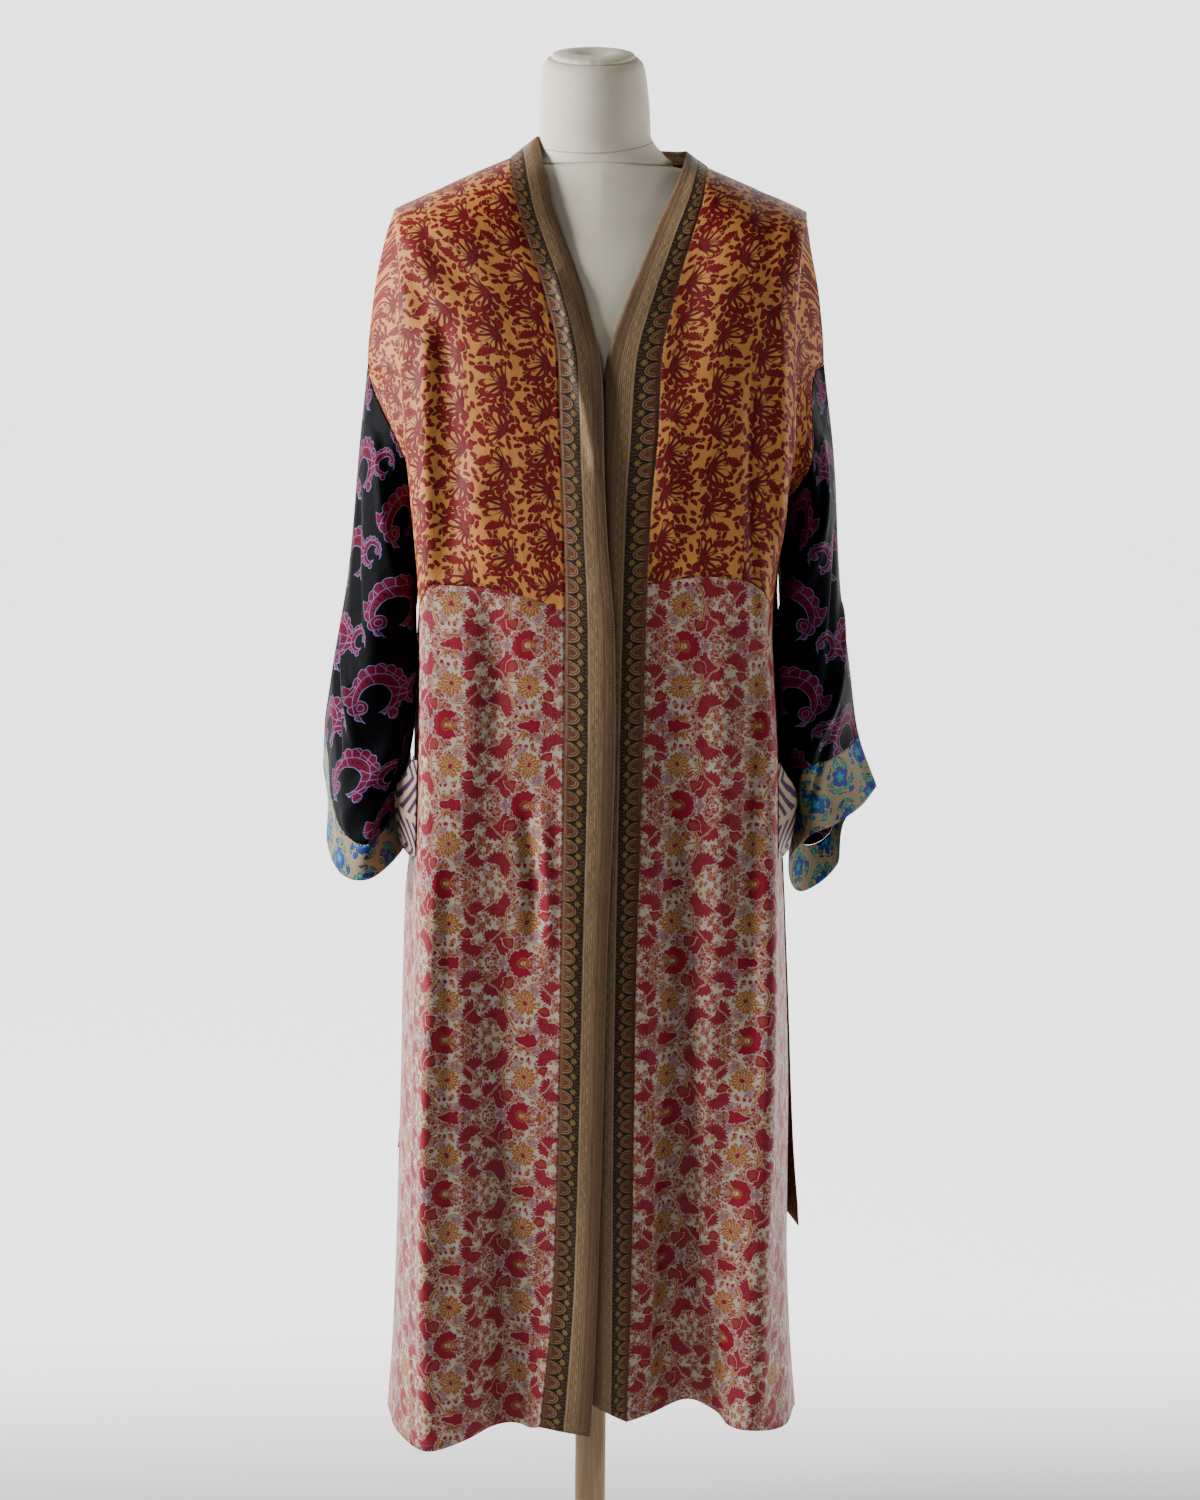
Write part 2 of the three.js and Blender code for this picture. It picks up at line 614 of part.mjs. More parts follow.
// Back neck band: from the neck seam up to its top edge
const neckRise = 1.5; // its lower edge over the panel's edge, and the gap behind the front bands
const endGap = 0.6;
function backNeckBand() {
  const tops = neckBand.map((row) => vector(row.x, row.y, row.z));
  const places = neckBand.map((row) => row.t);
  const neckPlaces = acrossBack.slice(0, neckColumns + 1);
  const half = (side) => neckPlaces.map((a) => upperVertex(side, 1, a, 0, levelsBack));
  const seams = [...half(sides[-1]).reverse(), ...half(sides[1]).slice(1)];
  const last = seams.length - 1;
  return seams.map((seam, i) => {
    const t = (seam.point.x - sides[-1].neckX) / (sides[1].neckX - sides[-1].neckX);
    const top = throughPoints(tops, places, t);
    const level = vector(-seam.point.x, -seam.point.y, 0).setLength(wall);
    const atEnd = i === 0 || i === last;
    return steps(2).map((j) => {
      const point = seam.point.clone().add(vector(0, 0, neckRise)).lerp(top, j / 2);
      if (atEnd) point.y += endGap;
      return { point, inward: seam.inward.clone().lerp(level, j / 2).setLength(wall) };
    });
  });
}

// Sleeve: a tube lofted from the sleeve seam through its rings to the cuff seam. The places are
// those of the rings down it: 1 is the cuff seam.
const ringPlaces = [0, 0.3, 0.58, 0.82, 1, 1.2];
const cuffPlaces = [1.1, 1.2];
const sleeveStand = 0.4; // the sleeve seam stands this far out from the panels' edges
function ringAt(ring, turn) {
  const points = ring.map(([x, y, z]) => vector(x, y, z));
  const count = points.length;
  const turns = count === armTurns.length ? armTurns : cuffTurns;
  const wrapped = [points[count - 1], ...points, points[0], points[1]];
  const places = [turns[count - 1] - 1, ...turns, 1, 1 + turns[1]];
  return throughPoints(wrapped, places, turn);
}

function armholeRing(side) {
  const face = (sign, levels) => steps(armSteps).map((k) => upperVertex(side, sign, 2, k, levels));
  const front = face(-1, side.levels);
  const back = face(1, levelsBack);
  const corners = [...front, ...back.slice(1, -1).reverse()];
  [corners[0], corners[armSteps]].forEach((corner) => corner.point.setY(0));
  return corners.flatMap((corner, i) => {
    const next = corners[(i + 1) % corners.length];
    const middle = {
      point: corner.point.clone().lerp(next.point, 0.5),
      inward: corner.inward.clone().lerp(next.inward, 0.5),
    };
    return [corner, middle];
  }).map((vertex) => nudge(vertex, side.sign * sleeveStand, 0, -seamGap));
}

// Gives each vertex of closed rows its inward vector from its neighbours
function withInward(rows) {
  return rows.map((row, r) => row.map((point, c) => {
    const count = row.length;
    const around = row[(c + 1) % count].clone().sub(row[(c + count - 1) % count]);
    const below = rows[Math.min(r + 1, rows.length - 1)][c];
    const above = rows[Math.max(r - 1, 0)][c];
    return { point, inward: around.cross(below.clone().sub(above)).setLength(wall) };
  }));
}

function sleeveRows(side, rings) {
  const arm = armholeRing(side);
  const count = arm.length;
  const rows = [...steps(sleeveSteps).map((i) => i / sleeveSteps), ...cuffPlaces].map((v) =>
    arm.map((corner, c) => {
      const turn = c / count;
      const column = [corner.point, ...['upper', 'mid', 'lower', 'seam', 'hem'].map((name) =>
        ringAt(rings[name], turn))];
      return throughPoints(column, ringPlaces, v);
    }));
  const solid = withInward(rows);
  const flip = side.sign > 0 ? -1 : 1;
  solid.forEach((row) => row.forEach((vertex) => vertex.inward.multiplyScalar(flip)));
  solid[0] = arm;
  return solid;
}

// Pocket: a bag whose front edge juts from the side seam, folded in a V
const pocketRows = [
  { r: 0, frontZ: 984, foldX: 191, foldY: -78, foldZ: 980, backZ: 976 },
  { r: 0.45, frontZ: 940, foldX: 211, foldY: -58, foldZ: 939, backZ: 938 },
  { r: 0.85, frontZ: 898, foldX: 203, foldY: -62, foldZ: 888, backZ: 892 },
  { r: 1, frontZ: 884, foldX: 194, foldY: -70, foldZ: 878, backZ: 880 },
];
const pocketSteps = 5;
const pocketWall = 1.4;
const pocketPlaces = { front: 0.74, back: 0.95 };
function pocketShell(side) {
  const at = (r, column) => columnAt(pocketRows, 'r', r, column);
  return steps(pocketSteps).map((i) => {
    const r = i / pocketSteps;
    const lay = (q, z) => {
      const inward = robeInward(side, -1, q, z);
      return robePoint(side, -1, q, z).addScaledVector(inward, -(clear + pocketWall) / wall);
    };
    const front = lay(pocketPlaces.front, at(r, 'frontZ'));
    const back = lay(pocketPlaces.back, at(r, 'backZ'));
    const fold = vector(side.sign * at(r, 'foldX'), at(r, 'foldY'), at(r, 'foldZ'));
    const line = [front, front.clone().lerp(fold, 0.5), fold, fold.clone().lerp(back, 0.5), back];
    return line.map((point, j) => {
      const toFold = vector(-side.sign, 0, 0);
      const layers = [vector(-side.sign * 0.5, 1, 0), vector(0, 1, 0), toFold, toFold, toFold];
      return { point, inward: layers[j].clone().setLength(pocketWall) };
    });
  });
}

// Belt: through the loops at the sides, across the back waist, with an end hanging each side
const beltZ = 1070;
const beltWall = 1.4;
const beltEndQ = 0.99; // just behind the side seam
const beltOff = beltWall + clear; // its outer face over the cloth
function beltPoint(side, q, z, off) {
  const inward = robeInward(side, 1, q, z);
  return robePoint(side, 1, q, z).addScaledVector(inward, -off / wall);
}

function beltRow(side, places, z, slant, spread) {
  return places.map((q, j) => {
    const point = beltPoint(side, q, z + slant * (j - 1), beltOff + (spread * j) / 2);
    return { point, inward: robeInward(side, 1, q, z).setLength(beltWall) };
  });
}

const tailRows = [
  { t: 0, z: beltZ - beltWidth / 2 - seamGap, qLow: 0.86, qHigh: 0.985, spread: 0 },
  { t: 0.3, z: 860, qLow: 0.87, qHigh: 0.99, spread: 0 },
  { t: 0.31, z: 860 - seamGap, qLow: 0.87, qHigh: 0.99, spread: 0 },
  { t: 0.7, z: 640, qLow: 0.86, qHigh: 0.975, spread: 3 },
  { t: 0.86, z: 550, qLow: 0.855, qHigh: 0.965, spread: 7 },
  { t: 1, z: beltTailZ, qLow: 0.85, qHigh: 0.955, spread: 15 },
];

// The two hanging ends: shift moves an end round to the back, middle is its middle column
const tails = {
  left: { shift: 0, middle: 5 / 6, endZ: beltTailZ },
  right: { shift: 0.12, middle: 3 / 6, endZ: beltTailZ + 70 },
};
const tailSlant = 8;

function beltTail(side, tail, from, to, count) {
  const at = (t, column) => columnAt(tailRows, 't', t, column);
  const top = tailRows[0].z;
  return steps(count).map((i) => {
    const t = lerp(from, to, i / count);
    const z = lerp(top, tail.endZ, (top - at(t, 'z')) / (top - beltTailZ));
    const places = [at(t, 'qLow') - tail.shift, placeOf(1 + tail.middle), at(t, 'qHigh') - tail.shift];
    return beltRow(side, places, z, t === 1 ? -tailSlant : 0, at(t, 'spread'));
  });
}

function beltWaist() {
  const places = acrossBack.map(placeOf).slice(0, -1).reverse();
  places.unshift(beltEndQ);
  const column = (side, q) => [-1, 0, 1].map((j) => {
    const z = beltZ + j * beltWidth * 0.5;
    const inward = robeInward(side, 1, q, z).setLength(beltWall);
    return { point: beltPoint(side, q, z, beltOff), inward };
  });
  return [
    ...places.map((q) => column(sides[-1], q)),
    ...places.slice(0, -1).reverse().map((q) => column(sides[1], q)),
  ];
}

// Dress form: rings of ovals, closed at both ends
function ovalPoint(ring, angle) {
  const c = Math.cos(angle);
  const s = Math.sin(angle);
  const reach = s < 0 ? ring.front : ring.back;
  const bend = 2 / ring.power;
  const x = ring.half * Math.sign(c) * Math.abs(c) ** bend + (ring.shift ?? 0);
  const y = reach * Math.sign(s) * Math.abs(s) ** bend;
  return vector(x, y, ring.z + (ring.slope ?? 0) * y);
}

function loftGeometry(rings, columns) {
  const points = [];
  const index = [];
  rings.forEach((ring) => steps(columns - 1).forEach((c) =>
    points.push(ovalPoint(ring, (c / columns) * Math.PI * 2))));
  const at = (r, c) => r * columns + (c % columns);
  for (let r = 0; r < rings.length - 1; r += 1) {
    for (let c = 0; c < columns; c += 1) {
      index.push(at(r, c), at(r, c + 1), at(r + 1, c + 1), at(r, c), at(r + 1, c + 1), at(r + 1, c));
    }
  }
  [0, rings.length - 1].forEach((r, end) => {
    const middle = vector(0, 0, 0);
    for (let c = 0; c < columns; c += 1) middle.add(points[at(r, c)]);
    middle.divideScalar(columns);
    points.push(middle);
    const tip = points.length - 1;
    for (let c = 0; c < columns; c += 1) {
      if (end) index.push(at(r, c), at(r, c + 1), tip);
      else index.push(at(r, c + 1), at(r, c), tip);
    }
  });
  return solidGeometry(points, index);
}

// Half width of the form where its shoulder line lies just under the cloth
function shoulderHalf(z) {
  const meet = (side) => {
    let x = side.tipX;
    while (Math.abs(x) > capRim.half && shoulderZ(side, x) - shoulderSink < z) x -= side.sign * 0.5;
    return Math.abs(x);
  };
  return Math.min(meet(sides[-1]), meet(sides[1]), widestHalf);
}

function torsoSections() {
  const shoulders = shoulderRings.map((ring) => ({ ...ring, half: shoulderHalf(ring.z) }));
  const top = { ...neckRings[0], power: neckPower, shift: formShift * 0.5 };
  return [...torsoRings, ...shoulders, top];
}

function neckSections() {
  return neckRings.map((ring, i) => (i
    ? { power: 2, shift: formShift, ...ring }
    : { ...ring, power: neckPower, shift: formShift * 0.5, z: ring.z + seamGap }));
}

function capSections() {
  const last = neckRings[neckRings.length - 1];
  const low = last.z + seamGap;
  const slope = last.slope;
  const shape = (grow, up) => ({
    z: low + up, half: capRim.half * grow, front: capRim.front * grow, back: capRim.back * grow,
    power: 2, shift: formShift, slope,
  });
  const hollow = capHollow.half / capRim.half;
  return [
    shape(0.96, 0), shape(1, 2), shape(0.9, capHeight), shape(0.6, capHeight + 1.5),
    shape(hollow, capHeight), shape(hollow * 0.5, capHeight - capHollow.deep),
  ];
}

function turned(profile, segments) {
  const points = profile.map(([radius, z]) => new THREE.Vector2(radius, z));
  return new THREE.LatheGeometry(points, segments).rotateX(Math.PI / 2);
}

addMesh('upper_front_right', clothGeometry(upperFront(sides[-1])), colours.gold);
addMesh('upper_front_left', clothGeometry(upperFront(sides[1])), colours.gold);
addMesh('upper_back', clothGeometry(steps(waistSteps).map(upperBackRow)), colours.gold);
addMesh('lower_front_right', clothGeometry(lowerFront(sides[-1])), colours.floral);
addMesh('lower_front_left', clothGeometry(lowerFront(sides[1])), colours.floral);
addMesh('lower_back', clothGeometry(lowerBack()), colours.floral);
addMesh('front_band_right', clothGeometry(frontBand(sides[-1], bandHemZ.right)), colours.band);
addMesh('front_band_left', clothGeometry(frontBand(sides[1], bandHemZ.left)), colours.band);
addMesh('back_neck_band', clothGeometry(backNeckBand()), colours.band);

[['right', sides[-1], sleeveRight], ['left', sides[1], sleeveLeft]].forEach(([name, side, rings]) => {
  const rows = sleeveRows(side, rings);
  const cuffRows = rows.slice(sleeveSteps).map((row) => row.map((vertex) => ({
    point: vertex.point.clone(), inward: vertex.inward.clone() })));
  cuffRows[0].forEach((vertex) => nudge(vertex, 0, 0, -seamGap));
  addMesh(`sleeve_${name}`, clothGeometry(rows.slice(0, sleeveSteps + 1), true), colours.black);
  addMesh(`cuff_${name}`, clothGeometry(cuffRows, true), colours.cuff);
  addMesh(`pocket_${name}`, clothGeometry(pocketShell(side)), colours.pocket);
});

addMesh('belt_waist', clothGeometry(beltWaist()), colours.gold);
addMesh('belt_end_left_upper', clothGeometry(beltTail(sides[1], tails.left, 0, 0.3, 3)), colours.gold);
addMesh('belt_end_left', clothGeometry(beltTail(sides[1], tails.left, 0.31, 1, 6)), colours.olive);
addMesh('belt_end_right', clothGeometry(beltTail(sides[-1], tails.right, 0, 1, 8)), colours.olive);

addMesh('form_torso', loftGeometry(torsoSections(), formColumns), colours.form);
addMesh('form_neck', loftGeometry(neckSections(), formColumns), colours.form);
addMesh('form_neck_cap', loftGeometry(capSections(), formColumns), colours.form);

const collarHeight = 26;
const collarRadius = 34;
const collarFoot = 30;
const roundSegments = 24;
const baseSegments = 36;
const baseEase = 3;
const baseRound = 8;
const collarTop = torsoBottomZ - seamGap;
const poleTop = collarTop - collarHeight - seamGap;
addMesh('form_collar', turned([
  [0, collarTop - collarHeight], [collarFoot, collarTop - collarHeight],
  [collarRadius, collarTop - 6], [collarRadius, collarTop], [0, collarTop]], roundSegments),
colours.wood);
addMesh('form_pole', turned([
  [0, baseHeight + seamGap], [poleRadius, baseHeight + seamGap], [poleRadius, poleTop],
  [0, poleTop]], roundSegments), colours.wood);
addMesh('form_base', turned([
  [0, 0], [baseRadius - baseEase, 0], [baseRadius, baseEase], [baseRadius, baseHeight - baseRound],
  [baseRadius - baseRound, baseHeight], [0, baseHeight]], baseSegments), colours.base);

export default model;
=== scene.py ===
# Patchwork silk kimono robe on a limbless dress form
import math

import bmesh
import bpy
import numpy as np
from mathutils import Matrix, Vector


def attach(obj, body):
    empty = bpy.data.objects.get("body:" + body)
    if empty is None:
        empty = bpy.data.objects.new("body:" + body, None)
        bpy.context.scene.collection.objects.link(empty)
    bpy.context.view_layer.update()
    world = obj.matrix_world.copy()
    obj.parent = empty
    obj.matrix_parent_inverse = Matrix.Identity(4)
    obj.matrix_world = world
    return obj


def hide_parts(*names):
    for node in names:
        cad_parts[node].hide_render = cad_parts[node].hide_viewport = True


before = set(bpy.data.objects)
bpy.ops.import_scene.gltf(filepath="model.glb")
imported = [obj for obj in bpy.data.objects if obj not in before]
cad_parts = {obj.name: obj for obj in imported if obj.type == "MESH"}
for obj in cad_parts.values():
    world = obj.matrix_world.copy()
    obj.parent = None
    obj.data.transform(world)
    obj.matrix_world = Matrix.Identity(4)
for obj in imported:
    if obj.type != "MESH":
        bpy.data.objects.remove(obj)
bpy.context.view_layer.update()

mm = 0.001
print("frame loaded")

# Sizes of the robe in millimetres, as the solids have them; right and left are the wearer's
robe = {
    "clothThick": 0.9,
    "capDrop": 70,
    "underarmDrop": 154,
    "middleZ": 1597,
    "backNeckZ": 1581,
    "backWaves": 3,
    "backWaveDepth": 13,
    "wavesFromZ": 1100,
    "bandHemZ": {-1: 268, 1: 297},
    "liftFromZ": 1380,
    "beltWidth": 50,
    "beltZ": 1070,
    "beltOff": 2.2,
    "beltTailZ": 452,
}
capSteps, armSteps, waistSteps = 4, 7, 13
# Stitches in millimetres
stitches = {"spacing": 3.4, "length": 2.3, "thick": 0.55, "lift": 0.12}


def table(names, rows):
    return dict(zip(names.split(), np.array(rows, float).T))


outerRight = table("z x y", [
    (1543.5, -212.5, 0), (1516, -221.5, 0), (1455, -234.5, 0), (1382, -241.5, 0),
    (1377, -239, 12), (1361, -233, 27), (1339, -222, 44), (1312, -207, 60),
    (1284, -195, 64), (1256, -186, 42), (1228, -182, 0), (1160, -187, 0),
    (1083, -192, 0), (900, -197, 0), (821, -205, 0), (600, -211, 0),
    (339, -220, 0), (236, -227, 0),
])
outerLeft = table("z x y", [
    (1544.5, 211.5, 0), (1512, 217, 0), (1451, 228.5, 0), (1390, 233.5, 0),
    (1384.7, 226, 12), (1369.5, 219, 32), (1347, 217.5, 48), (1320, 218, 58),
    (1292, 217, 66), (1264, 204, 58), (1236, 186, 0), (1168, 189, 0),
    (1088, 194, 0), (900, 199, 0), (807, 204, 0), (600, 213, 0),
    (439, 215, 0), (349, 219, 0), (245, 228, 0),
])
sectionNames = "z seamX seamD midX midD creaseX creaseD hollowX hollowD"
frontRight = table(sectionNames, [
    (1600, -93, 82, -154, 92, -213, 96, -213, 0),
    (1549, -85, 84, -146, 95, -212, 96, -213, 0),
    (1516, -75, 95, -135, 102, -204, 97, -202, 32),
    (1454, -54, 112, -126, 116, -200, 97, -188, 56),
    (1394, -41, 124, -118, 124, -199, 98, -186, 64),
    (1320, -38, 130, -112, 128, -194, 101, -184, 74),
    (1250, -35, 134, -106, 130, -187, 104, -176, 66),
    (1150, -32, 137, -100, 131, -177, 112, -178, 62),
    (1000, -32, 140, -98, 132, -173, 124, -184, 66),
    (700, -34, 140, -96, 132, -171, 137, -196, 74),
    (450, -39, 137, -88, 122, -168, 147, -203, 80),
    (250, -55, 134, -82, 106, -166, 152, -208, 84),
])
frontLeft = table(sectionNames, [
    (1600, 110, 82, 162, 92, 212, 96, 212, 0),
    (1549, 102, 84, 152, 95, 211, 96, 212, 0),
    (1516, 92, 94, 142, 102, 203, 97, 201, 32),
    (1454, 74, 110, 134, 115, 197, 97, 186, 54),
    (1394, 62, 121, 128, 122, 195, 98, 188, 64),
    (1320, 59, 127, 122, 126, 196, 100, 190, 74),
    (1250, 53, 129, 116, 127, 186, 106, 186, 66),
    (1150, 49, 131, 108, 128, 169, 116, 182, 60),
    (1000, 47, 132, 106, 126, 178, 118, 187, 64),
    (700, 42, 132, 104, 118, 178, 131, 196, 72),
    (450, 41, 126, 106, 98, 172, 138, 203, 78),
    (250, 38, 114, 108, 74, 168, 142, 210, 84),
])
backHalf = table(sectionNames, [
    (1600, 0, 98, 93, 97, 212, 86, 213, 0),
    (1549, 0, 100, 93, 98, 211, 86, 213, 0),
    (1500, 0, 103, 92, 100, 198, 86, 198, 34),
    (1450, 0, 105, 92, 101, 190, 88, 187, 54),
    (1320, 0, 108, 90, 103, 186, 94, 184, 74),
    (1250, 0, 110, 88, 104, 176, 95, 178, 60),
    (1150, 0, 112, 88, 106, 164, 96, 180, 54),
    (700, 0, 129, 90, 124, 172, 112, 196, 64),
    (250, 0, 148, 94, 142, 182, 124, 211, 72),
])
levelsRight = table("q waist hem", [
    (0, 1142, 276), (0.2, 1157, 267), (0.4, 1166, 269), (0.55, 1167, 260),
    (0.62, 1150, 256), (0.82, 1108, 246), (1, 1083, 238),
])
levelsLeft = table("q waist hem", [
    (0, 1170, 274), (0.12, 1174, 275), (0.33, 1178, 284), (0.44, 1176, 278),
    (0.5, 1174, 274), (0.62, 1160, 277), (0.82, 1108, 257), (1, 1088, 245),
])
levelsBack = table("q waist hem", [(0, 1120, 262), (0.6, 1112, 256), (1, 1085, 242)])
edgeRight = table("z x d", [
    (1618, -66, 3), (1600, -61, 27), (1585, -58, 48), (1573, -55, 59), (1549, -50, 76),
    (1516, -38, 93), (1486, -26, 103), (1454, -15, 114), (1427, -7.5, 119), (1394, 0.5, 125),
    (1363, 4, 130), (1284, 6, 137), (1210, 10, 141), (1115, 18, 143), (1014, 19.5, 144),
    (777, 13, 144), (513, 8.5, 142), (323, 3, 140), (268, 0, 139),
])
edgeLeft = table("z x d", [
    (1604, 87, 6), (1597, 86, 18), (1583, 82, 40), (1565, 75, 58), (1547, 67, 73),
    (1515, 53, 90), (1485, 41, 102), (1454, 28, 112), (1426, 17.5, 117), (1393, 7.5, 121),
    (1363, 3, 123), (1284, -0.5, 126), (1168, -1.5, 130), (1013, -3, 132), (639, -3, 130),
    (400, 0, 127), (297, 2, 125),
])
neckBand = table("t x y z", [
    (0, -66, -3, 1618), (0.17, -62, 32, 1620), (0.34, -39, 60, 1618), (0.5, 0, 68, 1615),
    (0.66, 42, 60, 1611), (0.84, 76, 34, 1607), (1, 87, -6, 1604),
])
knots = np.array([0, 0.32, 0.62, 0.82, 1])
creaseQ = knots[2]
neckPlace = knots[1] / creaseQ

sides = {
    -1: dict(sign=-1, outer=outerRight, front=frontRight, levels=levelsRight, edge=edgeRight,
             neckX=-93, neckZ=1596, bow=1),
    1: dict(sign=1, outer=outerLeft, front=frontLeft, levels=levelsLeft, edge=edgeLeft,
            neckX=110, neckZ=1587.5, bow=0.5),
}
for side in sides.values():
    side["tipZ"], side["tipX"] = side["outer"]["z"][0], side["outer"]["x"][0]
    side["armZ"] = side["outer"]["z"][3]


def lerp(a, b, t):
    return a + (b - a) * t


def smooth(low, high, value):
    t = np.clip((value - low) / (high - low), 0, 1)
    return t * t * (3 - 2 * t)


# Value of one column of a table at key = value, by a monotone cubic
def column(tab, key, value, name):
    x, y = tab[key], tab[name]
    if x[0] > x[-1]:
        x, y = x[::-1], y[::-1]
    slope = np.diff(y) / np.diff(x)
    tangent = np.concatenate([slope[:1], np.zeros(len(x) - 2), slope[-1:]])
    for j in range(1, len(x) - 1):
        if slope[j - 1] * slope[j] > 0:
            tangent[j] = 2 * slope[j - 1] * slope[j] / (slope[j - 1] + slope[j])
    v = np.clip(value, x[0], x[-1])
    i = np.clip(np.searchsorted(x, v) - 1, 0, len(x) - 2)
    width = x[i + 1] - x[i]
    s = (v - x[i]) / width
    rise = (1 + 2 * s) * (1 - s) ** 2 * y[i] + s * s * (3 - 2 * s) * y[i + 1]
    return rise + s * (1 - s) * width * ((1 - s) * tangent[i] - s * tangent[i + 1])


# Smooth curve through values at the given places, for every t
def through(values, places, t):
    t = np.asarray(t, float)
    values = np.stack(np.broadcast_arrays(*values, t)[:-1])
    places = np.asarray(places, float)
    last = len(places) - 1
    i = np.broadcast_to(np.clip(np.searchsorted(places[1:-1], t), 0, last - 1), values.shape[1:])
    pick = lambda j: np.take_along_axis(values, j[None], 0)[0]
    def tangent(j):
        low, high = np.maximum(j - 1, 0), np.minimum(j + 1, last)
        return (pick(high) - pick(low)) / (places[high] - places[low])
    width = places[i + 1] - places[i]
    s = (t - places[i]) / width
    out = pick(i) * (1 + 2 * s) * (1 - s) ** 2 + pick(i + 1) * s * s * (3 - 2 * s)
    return out + s * (1 - s) * width * ((1 - s) * tangent(i) - s * tangent(i + 1))


def shoulderZ(side, x):
    t = (x - side["neckX"]) / (side["tipX"] - side["neckX"])
    bow = side["bow"] * np.sin(np.pi * np.clip(t, 0, 1))
    inside = lerp(robe["middleZ"], side["neckZ"], (x / side["neckX"]) ** 2)
    return np.where(t > 0, lerp(side["neckZ"], side["tipZ"], t) + bow, inside)


def rollOver(drop):
    h = np.clip(drop / robe["capDrop"], 0, 1)
    return np.sqrt(1 - (1 - h) ** 2)


# Points of the robe's outer face: face is -1 in front and 1 behind, q is the place across
def robePoints(side, face, q, z):
    q, z = np.broadcast_arrays(np.asarray(q, float), np.asarray(z, float))
    tab = side["front"] if face < 0 else backHalf
    mirror = 1 if face < 0 else side["sign"]
    names = ("seam", "mid", "crease", "hollow")
    xs = [mirror * column(tab, "z", z, n + "X") for n in names]
    xs.append(column(side["outer"], "z", z, "x"))
    ys = [face * column(tab, "z", z, n + "D") for n in names]
    ys.append(face * column(side["outer"], "z", z, "y"))
    if face > 0:
        xs[1] = lerp(xs[1], side["neckX"], smooth(1450, 1560, z))
        top = robe["wavesFromZ"]
        hang = np.clip((top - z) / (top - 250), 0, 1) * robe["backWaveDepth"]
        near = hang * np.cos(np.pi * robe["backWaves"] * q / creaseQ)
        bareYs = [y + near for y in ys]
        ys[2] = ys[2] + hang * math.cos(math.pi * robe["backWaves"])
    else:
        bareYs = ys
    rolled = [y * rollOver(shoulderZ(side, x) - z) for x, y in zip(xs[:3], ys[:3])] + ys[3:]
    x = through(xs, knots, q)
    nearY = through(bareYs, knots, q) * rollOver(shoulderZ(side, x) - z)
    y = np.where(q > creaseQ, through(rolled, knots, q), nearY)
    return np.stack([x, y, z], -1)


def placeOf(a):
    return np.where(a <= 1, creaseQ * a, lerp(creaseQ, 1, a - 1))


def seamHeights(side, face, a):
    place = np.minimum(placeOf(a), creaseQ)
    z = np.full(a.shape, float(side["neckZ"]))
    for step in range(8):
        z = shoulderZ(side, robePoints(side, face, place, z)[..., 0])
    if face > 0:
        x = robePoints(side, 1, place, side["neckZ"])[..., 0]
        neck = lerp(robe["backNeckZ"], side["neckZ"], (x / side["neckX"]) ** 4)
        z = np.where(a < neckPlace, neck, z)
    return z


def dropAt(k, top, waist):
    cap, arm = robe["capDrop"], robe["underarmDrop"]
    first = cap * (1 - np.cos(np.clip(k / capSteps, 0, 1) * np.pi / 2))
    second = lerp(cap, arm, (k - capSteps) / (armSteps - capSteps))
    third = lerp(arm, top - waist, (k - armSteps) / (waistSteps - armSteps))
    return np.where(k <= capSteps, first, np.where(k <= armSteps, second, third))


# Grid of an upper panel: rows by k from the top edge, columns by a from the seam to the side
def upperGrid(side, face, a, k, levels):
    topRow = seamHeights(side, face, a)
    crease = seamHeights(side, face, np.array([1.0]))[0]
    topRow = np.where(a <= 1, topRow, lerp(crease, side["armZ"], a - 1))
    a, k = np.meshgrid(a, k)
    top = np.broadcast_to(topRow, a.shape)
    place = placeOf(a)
    f = np.clip(a - 1, 1e-9, 1)
    q = np.where(a <= 1, place, lerp(creaseQ, 1, f ** np.minimum(1, k / 5)))
    z = top - dropAt(k, top, column(levels, "q", place, "waist"))
    return robePoints(side, face, q, z)


def skirtGrid(side, face, a, r, levels):
    a, r = np.meshgrid(a, r)
    place = placeOf(a)
    waist = column(levels, "q", place, "waist") - 0.3
    return robePoints(side, face, place, lerp(waist, column(levels, "q", place, "hem"), r))


def bothHalves(make):
    right, left = make(sides[-1]), make(sides[1])
    return np.concatenate([right[:, ::-1], left[:, 1:]], 1)


# Unit normals of a grid, turned away from the given centre line
def gridNormals(points, centre, ring=False):
    if ring:
        across = np.roll(points, -1, 1) - np.roll(points, 1, 1)
    else:
        across = np.gradient(points, axis=1)
    normal = np.cross(across, np.gradient(points, axis=0))
    length = np.linalg.norm(normal, axis=-1, keepdims=True)
    normal = normal / np.maximum(length, 1e-9)
    away = np.sum(normal * (points - centre))
    return normal if away > 0 else -normal


# Cloth coordinates in metres: u across and v down, from the lengths on the surface
def clothPlaces(points, u0=0.0, v0=None, ring=False):
    stepU = np.linalg.norm(np.diff(points, axis=1), axis=-1)
    if ring:
        close = np.linalg.norm(points[:, :1] - points[:, -1:], axis=-1)
        stepU = np.concatenate([stepU, close], 1)
    stepV = np.linalg.norm(np.diff(points, axis=0), axis=-1)
    u = np.concatenate([np.zeros((len(points), 1)), np.cumsum(stepU, 1)], 1) + u0
    v = np.concatenate([np.zeros((1, points.shape[1])), np.cumsum(stepV, 0)], 0)
    top = (1600 - points[:1, :, 2]) if v0 is None else v0
    v = v + top
    if ring:
        v = np.concatenate([v, v[:, :1]], 1)
    return np.stack([u, v], -1) * mm


